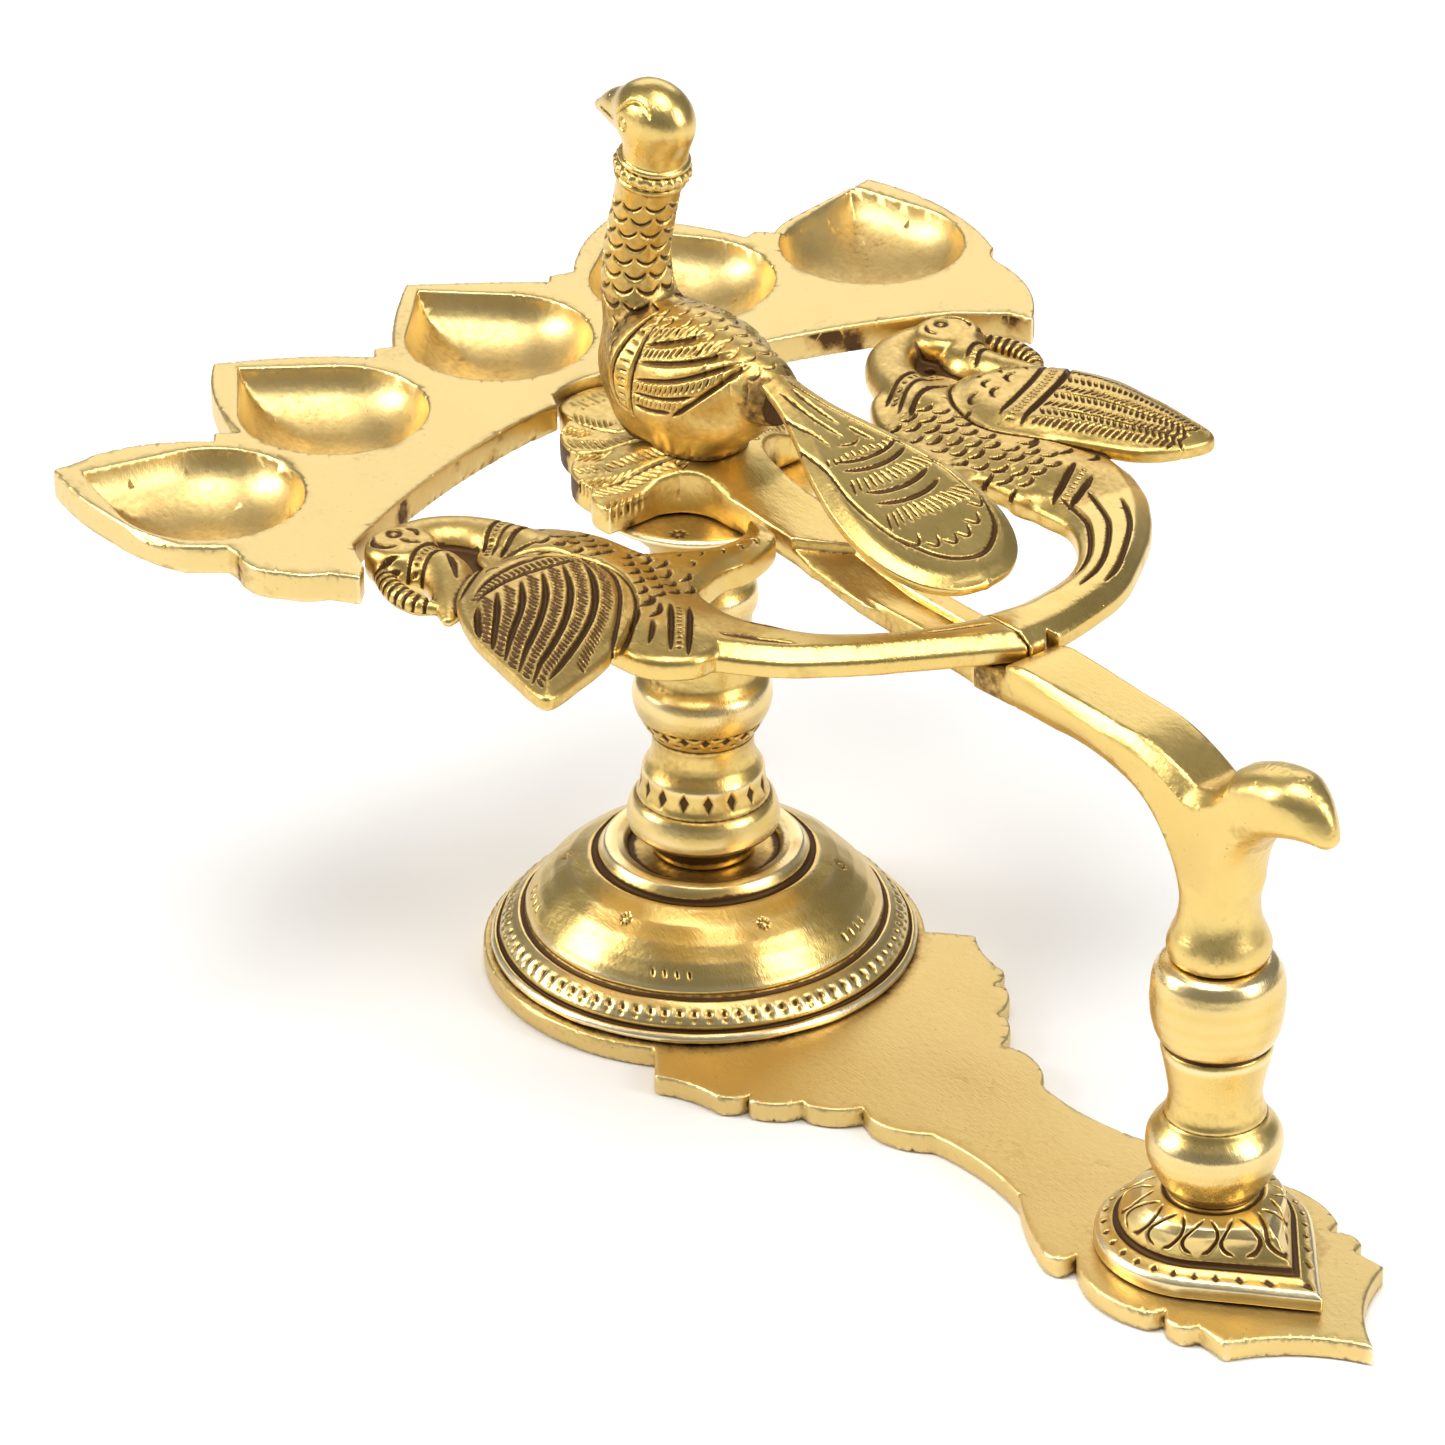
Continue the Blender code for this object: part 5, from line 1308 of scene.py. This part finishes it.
def handle_arm():
    casting = Casting((76.5, -10, 59.8), (162.5, 10, 106.0), 0.28)
    x, z = casting.axes[0][:, None], casting.axes[2][None, :]
    side = outline_distance(x, z, arcs(ARM_SIDE)[:-1])
    inside = np.clip(-side, 0, None)
    full = np.interp(casting.axes[0], (76, 140, 150, 156, 160), (6.6, 6.6, 5.9, 3.8, 2.4))[:, None]
    narrow = ease(86, 70, z)
    full = full * (1 - narrow) + np.minimum(full, 5.6) * narrow
    crest = np.interp(casting.axes[0], (76, 92, 112, 130, 140, 162), (0.92, 0.80, 0.74, 0.62, 0.3, 0.1))[:, None]
    flank = np.minimum(crest + (1 - crest) * (inside / 2.6) ** 0.8, 1.0)
    round_up = np.sqrt(1 - (1 - np.clip(inside / 4.4, 0, 1)) ** 2)
    thumb = ease(134, 142, casting.axes[0])[:, None]
    half = full * (flank * (1 - thumb) + round_up * thumb)
    field = np.maximum(side[:, None, :] + 0 * casting.y, (np.abs(casting.y) - half[:, None, :]) * 0.8)
    casting.field = smooth_max(field, field - 0.4, 0.5)
    bulb_z, bulb_r = np.array(NECK_BULB)[::-1, 1], np.array(NECK_BULB)[::-1, 0]
    radius = np.interp(casting.axes[2], bulb_z, bulb_r)[None, None, :]
    bulb = np.hypot(casting.x - GRIP_X, casting.y) - radius
    bulb = np.maximum(bulb, np.maximum(casting.z - 73.0, 60.7 - casting.z))
    casting.add(bulb, 1.6)
    casting.field = np.maximum(casting.field, 60.7 - casting.z)
    casting.roughen(63, 12.0, 0.10)

    def shade_and_patina(points):
        # Painted shade at the root, where the arm meets the birds' hoops, under the thumb rest, and at the bulb's foot
        # on the grip.
        start = 0.5 * np.exp(-np.clip(points[:, 0] - 85.0, 0, None) / 2.0)
        valley = 0.3 * np.exp(-(((points[:, 0] - 131.5) / 2.0) ** 2)) * (points[:, 2] > 90)
        under = 0.25 * (points[:, 0] > 142) * (points[:, 2] < 92)
        return start + valley + under + 0.2 * np.clip((62.2 - points[:, 2]) / 1.5, 0, 1)

    ob = cast("arm_casting", casting, shade_and_patina, detail=0.08, dark=0.6)
    return dress(ob, "handle_arm", brass("handle_brass", GOLD, PALE, 0.26, 0.07, 0.4))


BOSS_X = 130.6
BOSS_RINGS = (
    (0.0, 0.0, 15.9),
    (7.6, 7.6, 15.9),
    (8.8, 9.0, 15.7),
    (11.8, 14.0, 14.6),
    (13.0, 17.0, 13.2),
    (13.8, 19.2, 11.4),
    (14.2, 20.8, 9.8),
    (14.6, 22.2, 8.9),
    (16.4, 25.4, 7.9),
    (17.6, 27.8, 7.5),
    (18.3, 29.0, 6.7),
    (18.4, 29.0, 5.6),
    (18.4, 29.0, 4.3),
    (0.0, 0.0, 4.3),
)


def lotus_boss():
    rings = np.array(BOSS_RINGS)
    radii, points, heights = rings[1:-1].T

    def reach(angles, z):
        """Centre line and how far each angle reaches beyond the round side: a circle drawn out to a point at +X."""
        ratio = np.interp(z, heights[::-1], (points / radii)[::-1])
        touch = np.arccos(np.clip(1 / ratio, -1, 1))
        off = np.abs((angles + math.pi) % (2 * math.pi) - math.pi)
        spread = 1 / np.cos(np.clip(touch - off, 0, None))
        return BOSS_X + 2.0 * ease(11.0, 15.5, z), spread

    boss = Turned(BOSS_X, rings[:, (0, 2)], 600, 0.24, 1, reach)
    petals = 13
    for k in range(petals):
        angle = -214 + k * 360 / petals
        boss.mark(angle, 12.6, 13.6, ((0.0, -3.4), (0.0, 2.4)), 0.6, 0.4)
        boss.dent(angle, 13.6, 11.8, 0.45, 0.45, 0.35)
        boss.dent(angle, 12.8, 13.4, 2.2, 3.6, -0.7)
        for side in (-1, 1):
            line = [(side * 0.6, -3.8), (side * 1.9, -2.0), (side * 2.7, 0.6), (side * 2.0, 2.6), (side * 0.6, 3.4)]
            s, r = boss.at(12.8, 13.4)
            per_degree = r * math.pi / 180
            boss.engraving.stroke([(angle + a / per_degree, s + b) for a, b in line], 0.75, 0.5, 0.15, 4, per_degree)
    for k in range(30):
        diamond(boss, -216 + 12 * k, 16.6, 7.8, 0.85, 0.9, 0.32)
    boss.ring(14.7, 8.8, 1.4, 0.6)
    boss.ring(8.2, 15.9, 1.2, 0.35)

    def shade_and_patina(points):
        # Painted shade at the bottom, where the boss stands on the plate.
        return 0.3 * np.clip((5.6 - points[:, 2]) / 1.2, 0, 1)

    ob = boss.build("boss_casting", shade_and_patina, 0.05, 2)
    return dress(ob, "lotus_boss", brass("boss_brass", GOLD, PALE, 0.25, 0.06))


# ---------------------------------------------------------------- peacock

BIRD_SEAT = 100.3
BIRD_NECK = ((-9.0, 0, 108.0), (-13.4, 0, 117.0), (-16.4, 0, 125.6), (-16.4, 0, 134.0), (-14.4, 0, 142.0), (-12.4, 0, 149.5), (-10.6, 0, 156.0))
BIRD_NECK_RADII = (9.6, 7.8, 6.4, 5.8, 5.6, 5.7, 5.6)
PADDLE_ROOT = (19.0, 121.6)
PADDLE_SLOPE = math.radians(16.6)
PADDLE_HALF = 1.8


def peacock_body():
    casting = Casting((-29, -14, 99.9), (22, 14, 167.5), 0.21)
    x, y, z = casting.x, casting.y, casting.z
    casting.add(casting.ball((-2.4, 0, 114.2), (20.6, 12.0, 12.4), 8.0))
    casting.add(casting.ball((13.6, 0, 119.4), (11.0, 6.4, 6.0), -14.0), 2.0)
    seat = np.hypot(x, y) - np.interp(casting.axes[2], (99, 103.5, 108), (9.0, 8.4, 10))[None, None, :]
    casting.add(np.maximum(seat, z - 110), 2.0)
    casting.add(casting.bar(BIRD_NECK, BIRD_NECK_RADII), 2.2)
    shoulder = casting.ball((-8.6, 0, 115.4), (7.6, 12.4, 9.6), 12.0)
    casting.add(shoulder, 1.4)
    casting.add(casting.ball((-11.6, 0, 159.1), (8.4, 6.0, 6.9)), 1.0)
    beak = casting.bar(((-15.0, 0, 158.6), (-20.6, 0, 157.9), (-26.0, 0, 156.4)), (4.6, 3.1, 1.1), 1.15)
    casting.add(beak, 0.8)
    for height, radius in ((150.0, 1.2), (151.8, 0.6), (148.2, 0.6)):
        centre = np.interp(height, (142.0, 149.5, 156.0), (-14.4, -12.4, -10.6))
        ring = np.hypot(np.hypot(x - centre, y) - 5.7, z - height + 0.18 * (x - centre)) - radius
        casting.add(ring, 0.25)
    casting.field = np.maximum(casting.field, mound(np.hypot(x, y)) + 0.25 - z)
    casting.field = np.maximum(casting.field, BIRD_SEAT - z)

    side = Engraving(casting.axes[0], casting.axes[2])
    random = np.random.default_rng(7)
    front, back = ((-8.2, 109.4), (-8.6, 115.0), (-8.2, 120.6), (-6.8, 125.6)), ((-5.0, 108.6), (-4.4, 114.0), (-4.2, 120.6), (-5.2, 127.4))
    side.stroke(front, 0.9, 0.65, 0.1)
    side.stroke(back, 1.1, 0.8, 0.1)
    side.ticks(between(front, back, 0.5), 2.2, 1.5, 0.5, 0.3)
    bars = (
        ((-4.0, 111.6), (1.0, 112.2), (5.4, 113.4)),
        ((-4.0, 114.0), (4.0, 115.4), (10.6, 117.8)),
        ((-4.0, 116.4), (6.0, 119.4), (16.0, 124.6)),
        ((-4.0, 119.4), (8.0, 122.8), (19.6, 128.4)),
        ((-4.0, 122.0), (5.0, 125.2), (13.0, 129.4)),
        ((-4.4, 125.2), (2.0, 126.8), (8.4, 129.2)),
    )
    for line in bars:
        side.stroke(line, 1.1, 0.7, 0.2)
    for k, (first, second) in enumerate(zip(bars, bars[1:])):
        if k != 2:
            side.ticks(between(first, second, 0.5), 2.2, 1.1, 0.55, 0.42, 58.0, 0.0, random)
    side.stroke(((5.4, 112.6), (11.0, 118.0), (17.6, 125.4)), 1.3, 0.8, 0.15)
    side.stroke(((-6.4, 126.6), (-2.0, 129.4), (3.4, 131.4)), 0.9, 0.5, 0.2)
    side.stroke(((3.6, 131.4), (12.0, 130.6), (21.0, 131.0)), 0.9, 0.5, 0.2)
    side.stroke(((-12.4, 123.0), (-8.0, 127.2), (-3.0, 130.4)), 0.9, 0.5, 0.2)
    for dx, dz in ((-12.6, 121.0), (-11.0, 124.0), (-11.8, 117.4), (-10.0, 120.0), (-11.0, 113.6), (-9.8, 110.6)):
        side.crescent((dx, dz), 1.4, 190, 0.6, 0.4)
    flank = ease(2.0, 5.0, np.abs(y))
    casting.field += side.depth[:, None, :] * flank * (z < 133)

    top = Engraving(*casting.axes[:2])
    for k in range(9):
        for j in range(-3, 4):
            place = (-6.0 + 3.0 * k + random.uniform(-0.2, 0.2), 3.0 * (j + 0.5 * (k % 2)) + random.uniform(-0.2, 0.2))
            if abs(place[1]) < 9:
                top.crescent(place, 1.5, 0.0, 0.65, 0.45)
    upward = ease(121.5, 124.5, z + 0.25 * (x + 6)) * (1 - ease(2.0, 9.0, np.abs(z - 138) - 12))
    back_only = ease(-9.0, -6.0, x)
    casting.field += top.depth[:, :, None] * upward * back_only * (z < 134)

    centre = np.interp(casting.axes[2], [p[2] for p in BIRD_NECK], [p[0] for p in BIRD_NECK])[None, None, :]
    around = np.arctan2(y, x - centre) * 6.2
    pitch_u, pitch_v = 4.87, 2.7
    rows = np.zeros(casting.field.shape, np.float32)
    for parity in (0, 1):
        u = (around + parity * pitch_u / 2 + 100 * pitch_u) % pitch_u - pitch_u / 2
        sag = 1.5 * (u / (pitch_u / 2)) ** 2
        v = (z - sag - parity * pitch_v + 50 * 2 * pitch_v) % (2 * pitch_v) - pitch_v
        mark = np.clip(1 - (v / 0.42) ** 2, 0, 1) * ease(1.0, 0.72, np.abs(u) / (pitch_u / 2))
        rows = np.maximum(rows, mark)
    on_neck = ease(121.0, 124.0, z + 0.4 * (x + 14)) * (1 - ease(144.6, 145.6, z)) * (x < centre + 9)
    casting.field += 0.5 * rows * on_neck * (np.hypot(x - centre, y) < 9.5)
    beads = 0.5 + 0.5 * np.cos(np.arctan2(y, x + 12.4) * 22)
    on_collar = np.exp(-(((z - 150.0 + 0.18 * (x + 12.4)) / 0.9) ** 2)) * (np.hypot(x + 12.4, y) > 5.6)
    casting.field += 0.4 * beads * on_collar

    face = Engraving(casting.axes[0], casting.axes[2])
    face.stroke(((-15.6, 160.0), (-12.0, 163.4), (-8.6, 163.0), (-7.2, 161.6)), 0.7, 0.4, 0.2)
    for turn in range(8):
        a, b = math.radians(45 * turn), math.radians(45 * turn + 45)
        face.stroke([(-13.0 + 1.1 * math.cos(t), 159.2 + 1.1 * math.sin(t)) for t in (a, b)], 0.5, 0.35, 0.0, 1)
    face.stroke(((-24.0, 157.6), (-20.0, 158.0), (-17.4, 157.8)), 0.6, 0.4, 0.2)
    casting.field += face.depth[:, None, :] * ease(0.6, 1.6, np.abs(y)) * (z > 152)
    casting.roughen(70, 8.0, 0.06)

    def shade_and_patina(points):
        # Painted shade low down, where the body sits on the leaf's mound.
        low = 0.8 * np.clip((105.0 - points[:, 2]) / 2.4, 0, 1)
        chest = 0.2 * (points[:, 0] < -9) * (points[:, 2] < 126)
        # Painted shade where the tail paddle joins the body.
        root = 0.3 * ease(16.0, 19.0, points[:, 0]) * (points[:, 2] < 123)
        return low + chest + root + 0.24 * ((points[:, 2] > 108) & (points[:, 2] < 148))

    ob = cast("peacock_casting", casting, shade_and_patina, detail=0.03, dark=1.15)
    return dress(ob, "peacock_body", brass("peacock_brass", GOLD, PALE, 0.24, 0.07), "peacock")


PADDLE_EDGE = ((-8.0, 0.0), (-8.0, 2.4), (0.0, 3.0), (7.0, 4.0), (16.0, 7.2), (24.0, 10.6), (34.0, 13.4), (44.0, 14.0), (52.0, 11.4), (56.8, 6.4), (58.2, 0.0))


def peacock_tail():
    casting = Casting((-9, -15.5, -2.6), (59.4, 15.5, 3.2), 0.19)
    half = smooth_line(PADDLE_EDGE[1:], 8)
    edge = casting.outline(both_sides(np.vstack([(-8.0, 0.0), half]), np.vstack([(-8.0, 0.0), half])))
    x, y = casting.flat_x, casting.flat_y
    crown = PADDLE_HALF - 1.0 * (1 - ease(0.0, 3.0, -edge))
    casting.add(casting.slab(edge, 0.9 - PADDLE_HALF, crown.astype(np.float32), 0.35))
    cuts = Engraving(*casting.axes[:2])
    random = np.random.default_rng(11)
    for line in (
        ((5, 0.0), (10, 0.4), (16, 1.6)),
        ((4.4, -2.0), (12, -1.6), (19, 0.2)),
        ((4, -4.8), (12, -4.8), (20, -3.2)),
        ((17, 2.6), (19, 3.2), (22, 4.6)),
    ):
        cuts.stroke(line, 0.75, 0.45, 0.3)
    cuts.stroke(((3.6, -6.0), (14, -7.6), (24, -7.8), (32, -9.0), (40, -8.6), (46, -7.2)), 0.85, 0.5, 0.1)
    cuts.stroke(((3, 0.6), (12, 3.4), (22, 7.6), (32, 11.2), (42, 11.4)), 0.7, 0.4, 0.1)
    cuts.stroke(((41, 12.6), (48, 9.6), (52.4, 4.0), (52.0, -1.0), (48.8, -5.0), (42, -8.2)), 1.0, 0.55, 0.1)
    cuts.stroke(((20.2, 2.8), (20.9, 0.6), (20.0, -2.4)), 0.5, 0.3)
    for bow, width in ((24.8, 0.8), (27.2, 0.9), (33.2, 1.0), (36.2, 1.0)):
        line = [(bow - 0.10 * (v - 1.5) ** 2 * 0.35, v) for v in np.linspace(-5.4, 8.6, 7)]
        cuts.stroke(line, width, 0.55, 0.15)
    for start, stop in ((22.4, 24.0), (28.2, 31.6), (37.2, 41.2)):
        for v in np.arange(-6.4, 11.4, 1.35):
            if abs(v) < 0.42 * start + 1:
                lift = 0.04 * v * (stop - start)
                shake = random.uniform(-0.3, 0.3)
                cuts.stroke([(start + shake, v - lift), (stop + shake, v + lift)], 0.6, 0.36, 0.3, 1)
    for k, v in enumerate((10.4, 7.0, 3.6, 0.4, -2.8, -5.6)):
        reach = 47.8 - 0.030 * (v - 1) ** 2 * 2
        cuts.stroke([(reach - 1.6, v + 1.7), (reach + 0.2, v + 0.9), (reach + 0.6, v - 0.3), (reach - 1.2, v - 1.6)], 0.6, 0.36, 0.15, 4)
    casting.engrave_top(cuts, 0.4)
    casting.roughen(80, 8.0, 0.05)
    cos, sin = math.cos(PADDLE_SLOPE), math.sin(PADDLE_SLOPE)

    def place(points):
        u, v, w = points.T
        return np.column_stack([PADDLE_ROOT[0] + u * cos + w * sin, v, PADDLE_ROOT[1] - u * sin + w * cos])

    def shade_and_patina(points):
        # Painted shade towards the root, where the paddle meets the body.
        root = 0.3 * ease(12.0, 2.0, points[:, 0])
        return root + 0.08 + np.clip(2.4 * sampled_plane(cuts.depth, cuts, points), 0, 1.0) * (points[:, 2] > 0)

    ob = cast("paddle_casting", casting, shade_and_patina, place, detail=0.05, dark=0.8)
    return dress(ob, "peacock_tail", brass("paddle_brass", GOLD, PALE, 0.26, 0.06), "peacock")


# ---------------------------------------------------------------- room


def steel_parts():
    mat = steel("screw_steel")
    for node, body in (("centre_stud", "lamp"), ("centre_nut", "lamp"), ("pillar_screw", "lamp"), ("grip_screw", "lamp")):
        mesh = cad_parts[node].data
        mesh.materials.clear()
        mesh.materials.append(mat)


def floor():
    mesh = bpy.data.meshes.new("studio_floor")
    size, depth = 3.0, -0.0002
    corners = [(-size, -size, depth), (size, -size, depth), (size, size, depth), (-size, size, depth)]
    mesh.from_pydata(corners, [], [(0, 1, 2, 3)])
    ob = bpy.data.objects.new("studio_floor", mesh)
    bpy.context.scene.collection.objects.link(ob)
    mat = bpy.data.materials.new("studio_floor")
    mat.use_nodes = True
    tree = mat.node_tree
    shader = tree.nodes["Principled BSDF"]
    place = tree.nodes.new("ShaderNodeTexCoord").outputs["Object"]
    tone = mix_colour(tree, noise(tree, place, 3.0, 2.0), (0.90, 0.90, 0.90), (0.93, 0.93, 0.93))
    tree.links.new(tone, shader.inputs["Base Color"])
    shader.inputs["Roughness"].default_value = 0.9
    shader.inputs["Specular IOR Level"].default_value = 0.1
    mesh.materials.append(mat)


def softbox(name, place, size, power, target=(0.0, 0.0, 0.06)):
    light = bpy.data.lights.new(name, "AREA")
    light.shape = "RECTANGLE"
    light.size, light.size_y = size
    light.energy = power
    ob = bpy.data.objects.new(name, light)
    ob.location = place
    ob.rotation_euler = (Vector(target) - Vector(place)).to_track_quat("-Z", "Y").to_euler()
    bpy.context.scene.collection.objects.link(ob)


def studio():
    world = bpy.data.worlds.new("studio")
    bpy.context.scene.world = world
    world.use_nodes = True
    world.node_tree.nodes["Background"].inputs["Color"].default_value = (0.95, 0.97, 1.0, 1.0)
    world.node_tree.nodes["Background"].inputs["Strength"].default_value = 0.24
    softbox("softbox_left", (-0.9, -1.1, 0.9), (0.6, 1.1), 18.0)
    softbox("softbox_right", (1.2, 0.5, 0.9), (0.6, 1.1), 15.0)
    softbox("softbox_back", (-1.15, 0.95, 0.85), (1.5, 0.8), 6.0)
    softbox("softbox_top", (0.1, -0.2, 1.5), (0.9, 0.9), 15.0)
    bpy.context.scene.view_settings.view_transform = "Standard"


def camera():
    """The photograph's viewpoint, taken from a perspective fit to the lamp."""
    azimuth, elevation, roll = (math.radians(a) for a in (50.524, 29.457, -0.3768))
    distance, width_px, lens_px = 1.56072, 1445, 9000
    centre_px = (723.888, 720.07)
    out = Vector((math.sin(azimuth) * math.cos(elevation), -math.cos(azimuth) * math.cos(elevation), math.sin(elevation)))
    target = Vector((PILLAR_X + 0.005788, 0.0, 0.049916))
    right = (-out).cross(Vector((0, 0, 1))).normalized()
    up = right.cross(-out)
    turned_right = right * math.cos(roll) + up * math.sin(roll)
    turned_up = up * math.cos(roll) - right * math.sin(roll)
    data = bpy.data.cameras.new("photo_camera")
    data.sensor_width = 36.0
    data.lens = lens_px / width_px * data.sensor_width
    data.shift_x = (width_px / 2 - centre_px[0]) / width_px
    data.shift_y = (centre_px[1] - width_px / 2) / width_px
    data.clip_end = 20.0
    ob = bpy.data.objects.new("photo_camera", data)
    axes = Matrix((turned_right, turned_up, out)).transposed().to_4x4()
    ob.matrix_world = Matrix.Translation(target + out * distance) @ axes
    bpy.context.scene.collection.objects.link(ob)
    bpy.context.scene.camera = ob


base_plate()
round_foot()
pillar()
seat_flange()
lamp_tray()
leaf_spine()
side_bird("side_bird_left", "bird_left_brass", 1, engrave_left, 5)
side_bird("side_bird_right", "bird_right_brass", -1, engrave_right, 6)
grip_column()
handle_arm()
lotus_boss()
peacock_body()
peacock_tail()
steel_parts()
floor()
studio()
camera()

bpy.context.view_layer.update()
